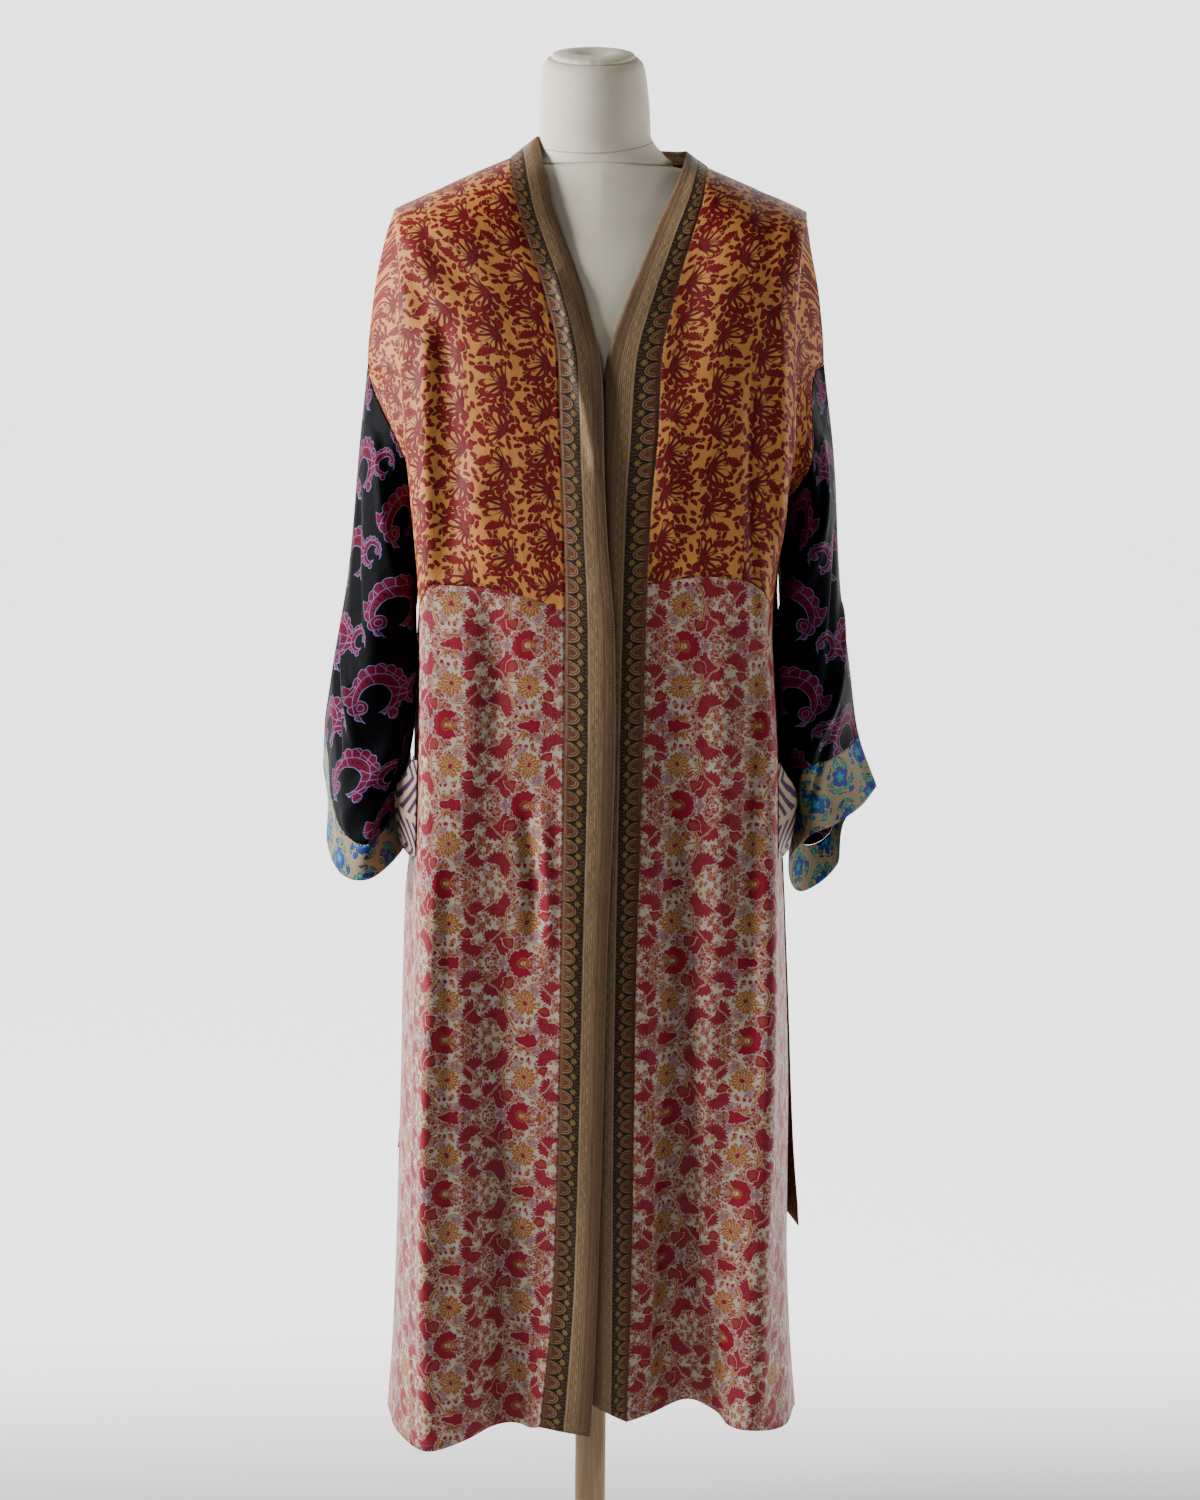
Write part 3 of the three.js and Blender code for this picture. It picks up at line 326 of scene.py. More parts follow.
# Soft ridges (depth above zero) and troughs, in millimetres: across and down are the two
# coordinates that a row's ends are given in
frontCreases = [
    (-170, 1430, -172, 1160, 9, 4), (-150, 1420, -148, 1180, 13, -3),
    (-120, 1300, -110, 1170, 16, 2.5), (-200, 1500, -150, 1380, 12, -3),
    (-190, 1530, -120, 1450, 14, -2.5), (-95, 1560, -60, 1440, 16, 2),
    (-165, 880, -176, 262, 7, 4.5), (-150, 860, -158, 280, 12, -3.5), (-68, 940, -62, 800, 9, -4),
    (-50, 950, -48, 780, 8, 3), (-95, 760, -100, 270, 18, -3), (-120, 600, -128, 265, 14, 3),
    (-70, 520, -68, 270, 14, 2.5), (-130, 1140, -128, 900, 15, 2.5),
    (-105, 1150, -100, 1000, 12, -2), (150, 1380, 158, 1120, 5, -2.2),
    (178, 1500, 186, 1160, 7, 3), (100, 1500, 80, 1360, 16, -2), (75, 1350, 70, 1200, 14, 2.5),
    (160, 1560, 185, 1420, 12, -2.5), (55, 930, 53, 300, 12, 4), (84, 1060, 84, 320, 16, -5),
    (123, 1130, 126, 310, 16, 5), (163, 1110, 160, 640, 12, -4), (178, 1000, 182, 300, 8, 3.5),
    (104, 420, 108, 290, 10, 4), (130, 400, 132, 270, 9, -5), (60, 560, 66, 300, 9, 2.5),
    (-43, 1478, -26, 1406, 5, 3.5), (-26, 1406, -10, 1320, 5, 3.5), (-10, 1320, -1, 1280, 5, 3),
    (-30, 1000, -26, 640, 9, 1.5), (-22, 560, -30, 320, 8, -1.5),
]
backCreases = [
    (-150, 1060, -160, 260, 12, 4), (-118, 1040, -128, 280, 16, -4),
    (-60, 1050, -64, 300, 14, 3.5), (-25, 1060, -22, 420, 10, -3), (32, 1050, 36, 300, 15, 4),
    (78, 1060, 84, 260, 14, -4), (126, 1040, 134, 300, 12, 4), (160, 1000, 168, 280, 9, -3),
    (-150, 1500, -90, 1380, 16, -2.5), (140, 1500, 80, 1370, 18, -2.5),
    (-60, 1330, -70, 1120, 14, 3), (20, 1300, 10, 1110, 12, -2.5), (95, 1320, 110, 1120, 14, 3),
    (-120, 1250, -130, 1100, 10, -3), (-88, 1150, -92, 1096, 6, -2), (48, 1160, 45, 1096, 7, 2),
    (-40, 1030, -36, 900, 8, 2.5), (108, 1035, 104, 880, 7, -2.5),
]
sleeveCreases = {
    -1: [(60, 40, 140, 150, 14, 4), (30, 120, 90, 260, 12, -4), (150, 80, 100, 230, 14, 4),
         (40, 260, 120, 330, 10, 5), (30, 300, 100, 380, 9, -5), (160, 260, 150, 420, 12, 4),
         (200, 100, 190, 360, 14, -3), (330, 60, 380, 300, 14, 4), (420, 100, 400, 350, 12, -4),
         (300, 280, 360, 420, 12, 3)],
    1: [(50, 60, 150, 190, 14, 4), (40, 160, 110, 300, 11, -4), (170, 60, 120, 240, 13, 4),
        (30, 250, 130, 340, 10, 4.5), (70, 330, 150, 380, 8, -4), (190, 220, 180, 380, 12, 4),
        (320, 80, 370, 330, 14, 4), (410, 120, 380, 380, 12, -4), (300, 250, 340, 420, 10, 3)],
}


def creased(points, down, across, rows, weight, centre, ring=False):
    push = 0.5 * np.sin(across * 0.043 + down * 0.011 + 1) * np.sin(down * 0.019 - across * 0.021)
    for a0, b0, a1, b1, width, depth in rows:
        da, db = a1 - a0, b1 - b0
        t = ((across - a0) * da + (down - b0) * db) / (da * da + db * db)
        inside = np.clip(t, 0, 1)
        bend = 0.25 * width * np.sin(6 * t + a0)
        away = np.hypot(across - a0 - inside * da + bend, down - b0 - inside * db)
        taper = np.sqrt(np.sin(np.pi * np.clip(t * 0.9 + 0.05, 0, 1)).clip(0))
        push = push + 1.5 * depth * taper * np.exp(-(away / width) ** 2)
    return points + gridNormals(points, centre, ring) * (push * weight)[..., None]


# Creases of the body of the robe, given by x and z; they die away towards the side seams
def bodyCreased(points, face, columns=None):
    weight = 1.0
    if columns is not None:
        weight = smooth(2, 1.75, columns)[None]
    weight = weight * smooth(1600, 1560, points[..., 2])
    rows = frontCreases if face < 0 else backCreases
    return creased(points, points[..., 2], points[..., 0], rows, weight, axisCentre(points))


def axisCentre(points):
    flat = np.zeros(points.shape[:2])
    return np.stack([flat, flat, points[..., 2]], -1)


# Closed thin shell from a grid of outer points
def clothPiece(name, points, places, centre, materials, thick=None, ring=False, node=None):
    normals = gridNormals(points, centre, ring)
    rows, columns = points.shape[:2]
    inner = points - normals * (thick or robe["clothThick"])
    vertices = np.concatenate([points.reshape(-1, 3), inner.reshape(-1, 3)]) * mm
    half = rows * columns
    around = columns if ring else columns - 1
    r, c = [g.ravel() for g in np.meshgrid(range(rows - 1), range(around), indexing="ij")]
    wide = places.shape[1]
    corner = lambda dr, dc: ((r + dr) * columns + (c + dc) % columns, (r + dr) * wide + c + dc)
    (a, ua), (b, ub), (d, ud), (e, ue) = corner(0, 0), corner(0, 1), corner(1, 1), corner(1, 0)
    outerFaces = np.stack([a, b, d, e], 1)
    faceUv = np.stack([ua, ub, ud, ue], 1)
    innerFaces = np.stack([a, e, d, b], 1) + half
    innerUv = np.stack([ua, ue, ud, ub], 1)
    rim, rimUv = [], []
    def rimRow(row, flip):
        for j in range(around):
            p, q = row * columns + j, row * columns + (j + 1) % columns
            up, uq = row * wide + j, row * wide + j + 1
            face, uvs = [p, p + half, q + half, q], [up, up, uq, uq]
            rim.append(face if flip else face[::-1])
            rimUv.append(uvs if flip else uvs[::-1])
    rimRow(0, True)
    rimRow(rows - 1, False)
    if not ring:
        for col, flip in ((0, False), (columns - 1, True)):
            for i in range(rows - 1):
                p, q = i * columns + col, (i + 1) * columns + col
                face = [p, p + half, q + half, q]
                uvs = [i * wide + col] * 2 + [(i + 1) * wide + col] * 2
                rim.append(face if flip else face[::-1])
                rimUv.append(uvs if flip else uvs[::-1])
    faces = np.concatenate([outerFaces, innerFaces, np.array(rim)])
    uvIndex = np.concatenate([faceUv, innerUv, np.array(rimUv)])
    mesh = bpy.data.meshes.new(name)
    mesh.from_pydata(vertices.tolist(), [], faces.tolist())
    layer = mesh.uv_layers.new(name="cloth")
    layer.data.foreach_set("uv", places.reshape(-1, 2)[uvIndex.ravel()].ravel())
    inside = np.zeros(len(faces), int)
    inside[len(outerFaces):len(outerFaces) + len(innerFaces)] = 1
    mesh.polygons.foreach_set("material_index", inside if len(materials) > 1 else inside * 0)
    return finishPiece(name, mesh, materials, node)


def finishPiece(name, mesh, materials, node=None):
    work = bmesh.new()
    work.from_mesh(mesh)
    bmesh.ops.remove_doubles(work, verts=work.verts, dist=1e-6)
    bmesh.ops.recalc_face_normals(work, faces=work.faces)
    work.to_mesh(mesh)
    work.free()
    for material in materials:
        mesh.materials.append(material)
    mesh.polygons.foreach_set("use_smooth", [True] * len(mesh.polygons))
    piece = bpy.data.objects.new(name, mesh)
    bpy.context.scene.collection.objects.link(piece)
    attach(piece, "root")
    if node:
        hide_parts(node)
    return piece


# Lines for the stitches: rows or columns of a laid grid, a little off the cloth
threads = {}


def stitchAlong(kind, grid, centre, row=None, col=None, ring=False):
    lifted = grid + gridNormals(grid, centre, ring) * stitches["lift"]
    line = lifted[:, col] if row is None else lifted[row]
    threads.setdefault(kind, []).append(np.concatenate([line, line[:1]]) if ring else line)


def plainMaterial(name, colour, roughness=0.6):
    material = bpy.data.materials.new(name)
    material.use_nodes = True
    shader = material.node_tree.nodes["Principled BSDF"]
    shader.inputs["Base Color"].default_value = (*colour, 1)
    shader.inputs["Roughness"].default_value = roughness
    return material


# A number that a shader works out: arithmetic on it adds math nodes
class Signal:
    def __init__(self, tree, socket):
        self.tree, self.socket = tree, socket

    def __add__(self, other):
        return mathNode("ADD", self, other)

    def __sub__(self, other):
        return mathNode("SUBTRACT", self, other)

    def __rsub__(self, other):
        return mathNode("SUBTRACT", other, self)

    def __mul__(self, other):
        return mathNode("MULTIPLY", self, other)

    def __pow__(self, other):
        return mathNode("MULTIPLY", self, self) if other == 2 else mathNode("POWER", self, other)

    __radd__, __rmul__ = __add__, __mul__


def feed(tree, target, value):
    if isinstance(value, Signal):
        tree.links.new(value.socket, target)
    else:
        target.default_value = value


def mathNode(operation, *values):
    tree = next(value.tree for value in values if isinstance(value, Signal))
    node = tree.nodes.new("ShaderNodeMath")
    node.operation = operation
    for target, value in zip(node.inputs, values):
        feed(tree, target, value)
    return Signal(tree, node.outputs[0])


def sine(a):
    return mathNode("SINE", a)


def cosine(a):
    return mathNode("COSINE", a)


def root(a):
    return mathNode("SQRT", a)


def size(a):
    return mathNode("ABSOLUTE", a)


def whole(a):
    return mathNode("FLOOR", a)


def angle(y, x):
    return mathNode("ARCTAN2", y, x)


def pingpong(a, scale):
    return mathNode("PINGPONG", a, scale)


def wrapped(a, period):
    return mathNode("WRAP", a, period / 2, -period / 2)


def most(first, *others):
    for other in others:
        first = mathNode("MAXIMUM", first, other)
    return first


def least(first, *others):
    for other in others:
        first = mathNode("MINIMUM", first, other)
    return first


def mapped(a, low, high):
    node = a.tree.nodes.new("ShaderNodeMapRange")
    node.interpolation_type = "SMOOTHSTEP"
    a.tree.links.new(a.socket, node.inputs["Value"])
    node.inputs["From Min"].default_value = low
    node.inputs["From Max"].default_value = high
    return Signal(a.tree, node.outputs["Result"])


# Scattered cells: place within the nearest cell and two random numbers of it
def cells(x, y, spacing):
    tree = x.tree
    join = tree.nodes.new("ShaderNodeCombineXYZ")
    feed(tree, join.inputs[0], x)
    feed(tree, join.inputs[1], y)
    spots = tree.nodes.new("ShaderNodeTexVoronoi")
    spots.voronoi_dimensions = "2D"
    spots.inputs["Scale"].default_value = 1 / spacing
    tree.links.new(join.outputs[0], spots.inputs["Vector"])
    place = tree.nodes.new("ShaderNodeSeparateXYZ")
    tree.links.new(spots.outputs["Position"], place.inputs[0])
    tint = tree.nodes.new("ShaderNodeSeparateColor")
    tree.links.new(spots.outputs["Color"], tint.inputs[0])
    return (x - Signal(tree, place.outputs[0]), y - Signal(tree, place.outputs[1]),
            Signal(tree, tint.outputs[0]), Signal(tree, tint.outputs[1]))


# Lays one colour over another where the mask is one
def mixed(mask, under, over):
    node = mask.tree.nodes.new("ShaderNodeMix")
    node.data_type = "RGBA"
    feed(mask.tree, node.inputs[0], mask)
    for target, colour in zip((node.inputs[6], node.inputs[7]), (under, over)):
        feed(mask.tree, target, colour if isinstance(colour, Signal) else (*colour, 1))
    return Signal(mask.tree, node.outputs[2])


def inside(distance, soft=0.35):
    return mapped(distance, soft, -soft)


def turned(x, y, degrees):
    c, s = math.cos(math.radians(degrees)), math.sin(math.radians(degrees))
    return x * c + y * s, y * c - x * s


# Fan with a lobed rim and long clear petals; it opens to +y and is printed below zero
def shell(x, y, reach, spread, petals, swirl):
    r = root(x * x + y * y)
    turn = angle(x, y) + r * swirl
    wave = size(cosine(turn * petals))
    rim = wave * (reach * 0.2) + reach * 0.8
    clear = most(wave * r * (-1 / petals) + 0.55, r - rim + reach * 0.15, r * -1 + reach * 0.3)
    return most(r - rim, clear * -1, (size(turn) - spread) * r)


# Row of commas along a stem: a runs along it and d away from it
def commas(a, d, step, tall):
    near = wrapped(a, step)
    t = d * (1 / tall)
    tail = most(size(near - t * t * 3.2 + 2) - t * 1.2 - 0.6, size(d - tall / 2) - tall / 2)
    hx, hy = near - 0.6, d - tall
    return least(tail, root(hx * hx + hy * hy) - 2.4)


def leaf(x, y, length, width, teeth):
    t = y * (1 / length)
    half = sine(least(most(t, 0), 1) * math.pi) * width
    jag = half * (0.65 + 0.35 * size(sine(t * teeth)))
    return most(size(x + half * 0.5) - jag, size(t - 0.5) * length - length / 2)


# One spray: an arched stem with commas on its back, two lobed fans and two leaves
def spray(x, y):
    arch = 19
    cx = x - arch
    r = root(cx * cx + y * y)
    turn = angle(y, cx * -1)
    d = r - arch
    stem = most(size(d + 0.8) - turn * 1.1 - 0.5, size(turn - 1.1) * arch - arch * 1.1)
    row = most(commas(turn * arch, d, 7.6, 6.5), size(turn - 1.05) * arch - 17)
    ax, ay = turned(x, y, -70)
    bx, by = turned(x, y + 1, -121)
    fans = least(shell(ax, ay, 33, 0.5, 8, 0.008), shell(bx, by, 25, 0.5, 8, -0.014))
    back = leaf(*turned(x + 1, y - 3, 30), 15, 4, 3)
    low = leaf(*turned(x - 19, y + 15, -75), 22, 5, 16)
    return least(stem, row, fans, low, back)


# Lattice whose odd columns are half a step lower; gives the place in the cell and its numbers
def bricks(u, v, wide, tall, shiftU=0.0, shiftV=0.0):
    a = (u + shiftU) * (1 / wide)
    column = whole(a)
    b = (v + shiftV) * (1 / tall) + column * 0.5
    row = whole(b)
    return (a - column - 0.5) * wide, (b - row - 0.5) * tall, column, row


# Sprays turned over by pairs and tilted unevenly, with small leaves in the gaps
def goldPrint(u, v):
    x, y, column, row = bricks(u, v, 44, 43)
    y = y * (mathNode("PINGPONG", row + column, 1) * -2 + 1)
    tilt = sine(column * 2.1 + row * 4.7) * 0.55
    c, s = cosine(tilt), sine(tilt)
    x, y = x * 1.16, y * 1.16
    marks = spray(x * c + y * s + 16, y * c - x * s + 1)
    dx, dy, pick, tint = cells(u, v, 9)
    c, s = cosine(pick * 6.28), sine(pick * 6.28)
    along, side = dx * c + dy * s, (dy * c - dx * s) * 2
    tear = root(along * along + side * side) + along * 0.4 - 3.2
    return least(marks, most(tear, 2.4 - marks))


def ring(x, y, radius, half):
    return size(root(x * x + y * y) - radius) - half


def disc(x, y, radius):
    return root(x * x + y * y) - radius


# Flower of many narrow petals
def burst(x, y, radius, petals, depth):
    wave = size(sine(angle(x, y) * (petals / 2)))
    return root(x * x + y * y) - radius + depth - wave * depth


# Small flowers strewn over the ground: petals, hearts and the two numbers of each
def strewn(x, y, spacing, radius, petals):
    dx, dy, pick, tint = cells(x, y, spacing)
    lean = dx * (tint - 0.5) + dy * (pick - 0.5)
    r = root(dx * dx + dy * dy)
    wave = size(sine(angle(dx, dy) * (petals / 2) + pick * 6))
    return r + lean * 0.7 - radius * (0.55 + 0.45 * wave), r - radius * 0.28, pick, tint


# Printed flowers, mirrored downwards and shifted by half in every other column
def floralPrint(u, v):
    wide, half = 81, 82
    a = u * (1 / wide)
    column = whole(a)
    x = (a - column - 0.5) * wide
    y = pingpong(v + column * half, half)
    far = half - y
    edge = size(x) * -1 + wide / 2
    vine = size(x * -1 + sine(y * (math.pi / half)) * 21 - 2) - 0.9
    twig = most(size(y - 30 - sine(x * 0.12) * 9) - 0.7, 6 - edge)
    lines = least(vine, twig)
    crownR = root(x * x + y * y)
    notch = size(sine(angle(x, y) * 8))
    crown = most(size(crownR - 9) - 5.2 - notch * 1.6, x * -1 - size(y) * 0.8 - 1)
    heart = least(ring(x + 1, y, 3.2, 0.6), ring(x + 6, y, 1.6, 0.8), ring(x, y, 5.4, 0.5))
    star = burst(x + 3, y - 42, 13, 14, 4)
    rays = most(size(cosine(angle(x + 3, y - 42) * 7)) - 0.3, disc(x + 3, y - 42, 9))
    carnations, folds = None, None
    for cx, cy, way, reach in ((27, 24, 35, 15), (24, 58, 140, 13), (-25, 66, -40, 12),
                               (-27, 28, -120, 12)):
        px, py = turned(x - cx, y - cy, way)
        turn = angle(px, py + 5)
        flower = most(burst(px, py + 5, reach + 2, 22, 3), (size(turn) - 2) * 6)
        slit = most(size(sine(turn * 5.5)) * 1.5 - 0.4, flower + 4)
        carnations = flower if carnations is None else least(carnations, flower)
        folds = slit if folds is None else least(folds, slit)
    moth = least(disc(x * 0.4 + 1, far, 4.4), burst(x + 9, far, 8, 5, 2.4))
    pod = leaf(*turned(size(x + 20) - 2, far - 8, 52), 18, 6, 3)
    fruit = least(pod, leaf(*turned(x - 12, y - 13, -40), 17, 6.5, 3),
                  leaf(*turned(x + 14, y - 50, 70), 16, 5.5, 3))
    return dict(lines=lines, crown=crown, heart=heart, star=star, rays=rays, carnations=carnations,
                folds=folds, eye=disc(x + 3, y - 42, 2.4), moth=moth, fruit=fruit,
                pips=fruit + 2.6, small=strewn(x, y, 6.2, 2.7, 5), middle=strewn(x, y, 14, 6.2, 9),
                grain=strewn(x, y, 3.7, 2.1, 4)[0])


def border(u, v):
    y, between = wrapped(v, 16.5), wrapped(v + 8.2, 16.5)
    x = u - 8.6
    bulb = root(x * x * 0.5 + y * y) + size(y) * 0.15 - 7.8 + x * 0.34
    crowns = least(burst(u - 1.2, between, 4.4, 7, 2.2), burst(u - 16, between, 3.6, 6, 2))
    fan = size(sine(angle(y, x - 3) * 8)) * 0.9 - 0.5
    comb = most(fan, 15.5 - u, u - 23)
    scroll = size(u - 30.5 - sine(v * 0.5 + sine(v) * 0.5) * 2.5) - 0.75
    lines = least(size(u - 25.2) - 0.7, size(wrapped(u - 26, 1.9)) - 0.35)
    return dict(bulb=bulb, crowns=crowns, comb=comb, scroll=scroll, lines=lines)


# Crested scroll with a round head and a curled tail: its distance and the lines on it
def paisley(x, y, reach):
    r = root(x * x + y * y)
    turn = angle(x, y)
    middle = reach - turn * (reach * 0.1)
    half = cosine(turn * 0.55) * (reach * 0.42)
    wave = size(sine(turn * 9))
    out = least(most((r - middle) * 0.3, 0), 1)
    d = size(r - middle) - half - out * wave * (reach * 0.1)
    head = disc(x + reach * 0.72, y + reach * 0.62, reach * 0.32)
    tail = disc(x - reach * 0.85, y + reach * 0.7, reach * 0.22)
    body = least(d, head, tail)
    rays = most(wave * r * (1 / 9) - 0.4, middle + 1.5 - r)
    veins = least(size(r - middle - 1.2) - 0.4, rays, size(head + reach * 0.16) - 0.4)
    dots = most(size(sine(turn * 11)) * 1.6 - 0.7, size(r - middle + reach * 0.15) - reach * 0.07)
    return body, veins, dots


def sleevePrint(u, v):
    x, y, column, row = bricks(u, v, 86, 92)
    big, veins, dots = paisley(x * 0.9 - 2, y * -0.9 + 3, 21)
    x, y, column, row = bricks(u, v, 86, 92, 42, 50)
    sx, sy = turned(x, y, 118)
    small, more, specks = paisley(sx, sy, 12)
    plume = leaf(*turned(x - 12, y + 24, 150), 22, 6, 22)
    return least(big, small, plume), least(veins, more), least(dots, specks)


def cuffPrint(u, v):
    x, y, column, row = bricks(u, v, 42, 46)
    r = root(x * x + y * y)
    turn = angle(x, y)
    flower = r - 7.5 - size(sine(turn * 2.5)) * 3.6
    petals = size(sine(turn * 2.5 + 0.78)) * r - 0.5
    dx, dy, pick, tint = cells(u, v, 7.5)
    small = root(dx * dx + dy * dy) + (dx * (tint - 0.5) + dy * (pick - 0.5)) - 3.1
    patch = most(small, r - 17 - size(sine(turn * 1.5)) * 5)
    return flower, petals, patch, pick


def keyPrint(u, v):
    x, y = (u + v) * 0.7, (v - u) * 0.7
    a, b = wrapped(x, 22), wrapped(y, 22)
    q = most(size(a), size(b))
    gap = most(size(a + b - 3) - 2.2, -1 * a)
    return most(size(wrapped(q, 4.4)) - 1.05, -1 * gap)


def beltPrint(u, v):
    x, y, column, row = bricks(u, v, 9, 11)
    arc = size(root(x * x + y * y * 0.6) - 3.6) - 0.6
    return least(arc, disc(x, y + 0.5, 1.1))

# Print colours as they look in daylight, from zero to one
inks = {
    "gold": (0.60, 0.245, 0.06), "wine": (0.205, 0.006, 0.007), "maroon": (0.10, 0.005, 0.014),
    "cream": (0.50, 0.42, 0.345), "crimson": (0.27, 0.006, 0.025), "coral": (0.27, 0.042, 0.034),
    "ochre": (0.33, 0.115, 0.016), "mauve": (0.28, 0.12, 0.17), "rose": (0.24, 0.018, 0.035),
    "pine": (0.014, 0.019, 0.013), "crown": (0.24, 0.15, 0.045), "comb": (0.125, 0.048, 0.024),
    "taupe": (0.20, 0.12, 0.065), "rib": (0.12, 0.066, 0.034), "pale": (0.34, 0.225, 0.12),
    "black": (0.0018, 0.002, 0.0032), "magenta": (0.105, 0.004, 0.022),
    "plum": (0.02, 0.002, 0.008), "ice": (0.15, 0.17, 0.36),
    "stone": (0.26, 0.205, 0.12), "teal": (0.014, 0.26, 0.22), "blue": (0.008, 0.035, 0.28),
    "ink": (0.004, 0.006, 0.008), "milk": (0.38, 0.30, 0.21), "violet": (0.055, 0.018, 0.06),
    "olive": (0.032, 0.017, 0.003), "brass": (0.22, 0.11, 0.02),
}


# Group that turns a print into silk: uneven dye, fine threads and slubs
def silkGroup():
    tree = bpy.data.node_groups.new("silk_weave", "ShaderNodeTree")
    for name, kind, way in (("Ink", "Color", "INPUT"), ("Place", "Vector", "INPUT"),
                            ("Threads", "Float", "INPUT"), ("Colour", "Color", "OUTPUT"),
                            ("Bump", "Vector", "OUTPUT"), ("Roughness", "Float", "OUTPUT")):
        tree.interface.new_socket(name, in_out=way, socket_type=f"NodeSocket{kind}")
    start, end = tree.nodes.new("NodeGroupInput"), tree.nodes.new("NodeGroupOutput")
    link = tree.links.new

    def noise(scale, stretch, detail=2.0):
        place = tree.nodes.new("ShaderNodeMapping")
        place.inputs["Scale"].default_value = stretch
        link(start.outputs["Place"], place.inputs["Vector"])
        texture = tree.nodes.new("ShaderNodeTexNoise")
        texture.noise_dimensions = "2D"
        texture.inputs["Scale"].default_value = scale
        texture.inputs["Detail"].default_value = detail
        link(place.outputs[0], texture.inputs["Vector"])
        return Signal(tree, texture.outputs[0])

    slub = noise(1, (0.9, 0.02, 1))
    cross = noise(1, (0.03, 0.8, 1))
    fade = noise(1, (0.012, 0.012, 1), 3.0)
    shade = slub * 0.22 + cross * 0.16 + fade * 0.3 + 0.67
    tint = tree.nodes.new("ShaderNodeVectorMath")
    tint.operation = "SCALE"
    link(start.outputs["Ink"], tint.inputs[0])
    link(shade.socket, tint.inputs["Scale"])
    link(tint.outputs[0], end.inputs["Colour"])
    rough = fade * 0.25 + slub * 0.12 + 0.38
    link(rough.socket, end.inputs["Roughness"])
    bump = tree.nodes.new("ShaderNodeBump")
    bump.inputs["Distance"].default_value = 0.0006
    link(start.outputs["Threads"], bump.inputs["Strength"])
    pucker = noise(1, (0.09, 0.05, 1), 3.0)
    height = slub * 0.5 + cross * 0.35 + pucker * 2.2
    link(height.socket, bump.inputs["Height"])
    link(bump.outputs[0], end.inputs["Bump"])
    return tree


# One silk material: the print gets the place on the cloth in millimetres and gives a colour
def silk(name, printed, threads=0.5, gloss=0.22, wobble=2.0):
    material = bpy.data.materials.new(name)
    material.use_nodes = True
    tree = material.node_tree
    uv = tree.nodes.new("ShaderNodeUVMap")
    uv.uv_map = "cloth"
    place = tree.nodes.new("ShaderNodeVectorMath")
    place.operation = "SCALE"
    place.inputs["Scale"].default_value = 1000
    tree.links.new(uv.outputs[0], place.inputs[0])
    split = tree.nodes.new("ShaderNodeSeparateXYZ")
    tree.links.new(place.outputs[0], split.inputs[0])
    noise = tree.nodes.new("ShaderNodeTexNoise")
    noise.noise_dimensions = "2D"
    noise.inputs["Scale"].default_value = 0.11
    tree.links.new(place.outputs[0], noise.inputs["Vector"])
    drift = tree.nodes.new("ShaderNodeSeparateColor")
    tree.links.new(noise.outputs["Color"], drift.inputs[0])
    shifted = [Signal(tree, split.outputs[i]) + (Signal(tree, drift.outputs[i]) - 0.5) * wobble
               for i in (0, 1)]
    colour = printed(*shifted)
    weave = tree.nodes.new("ShaderNodeGroup")
    weave.node_tree = bpy.data.node_groups["silk_weave"]
    feed(tree, weave.inputs["Ink"], colour)
    tree.links.new(place.outputs[0], weave.inputs["Place"])
    weave.inputs["Threads"].default_value = threads
    shader = tree.nodes["Principled BSDF"]
    tree.links.new(weave.outputs["Colour"], shader.inputs["Base Color"])
    tree.links.new(weave.outputs["Roughness"], shader.inputs["Roughness"])
    tree.links.new(weave.outputs["Bump"], shader.inputs["Normal"])
    shader.inputs["Specular IOR Level"].default_value = gloss
    return material


def painted(under, distance, ink, soft=0.3):
    return mixed(inside(distance, soft), under, inks[ink])


def goldCloth(u, v):
    marks = goldPrint(u, v) - 0.9
    red = mixed(inside(marks + 1.3, 1.0), inks["maroon"], inks["wine"])
    return mixed(inside(marks), inks["gold"], red)


def floralCloth(u, v):
    parts = floralPrint(u, v)
    bud, core, pick, tint = parts["small"]
    ink = mixed(mapped(pick, 0.40, 0.42), inks["ochre"], inks["coral"])
    ink = mixed(mapped(pick, 0.66, 0.68), ink, inks["crimson"])
    colour = mixed(inside(bud), inks["cream"], ink)
    flower, core, pick, tint = parts["middle"]
    ink = mixed(mapped(tint, 0.45, 0.47), inks["coral"], inks["rose"])
    ink = mixed(mapped(tint, 0.8, 0.82), ink, inks["mauve"])
    colour = painted(colour, flower - 0.5, "cream")
    colour = mixed(inside(flower), colour, ink)
    colour = painted(colour, core, "ochre")
    colour = painted(colour, parts["carnations"] - 0.55, "cream")
    colour = mixed(inside(parts["grain"] * -1) * 0.35, colour, inks["cream"])
    colour = painted(colour, parts["carnations"], "rose")
    colour = painted(colour, parts["folds"], "coral")
    colour = painted(colour, most(parts["grain"] * -1, parts["carnations"] + 1.5), "crimson")
    for part, ink, clear in (("lines", "ochre", 1), ("fruit", "crimson", 1), ("pips", "coral", 0),
                             ("star", "ochre", 1), ("rays", "cream", 0), ("eye", "crimson", 0),
                             ("moth", "crimson", 1), ("crown", "crimson", 1),
                             ("heart", "ochre", 0)):
        if clear:
            colour = painted(colour, parts[part] - 0.55, "cream")
        colour = painted(colour, parts[part], ink)
    return colour


bandFlat = 52


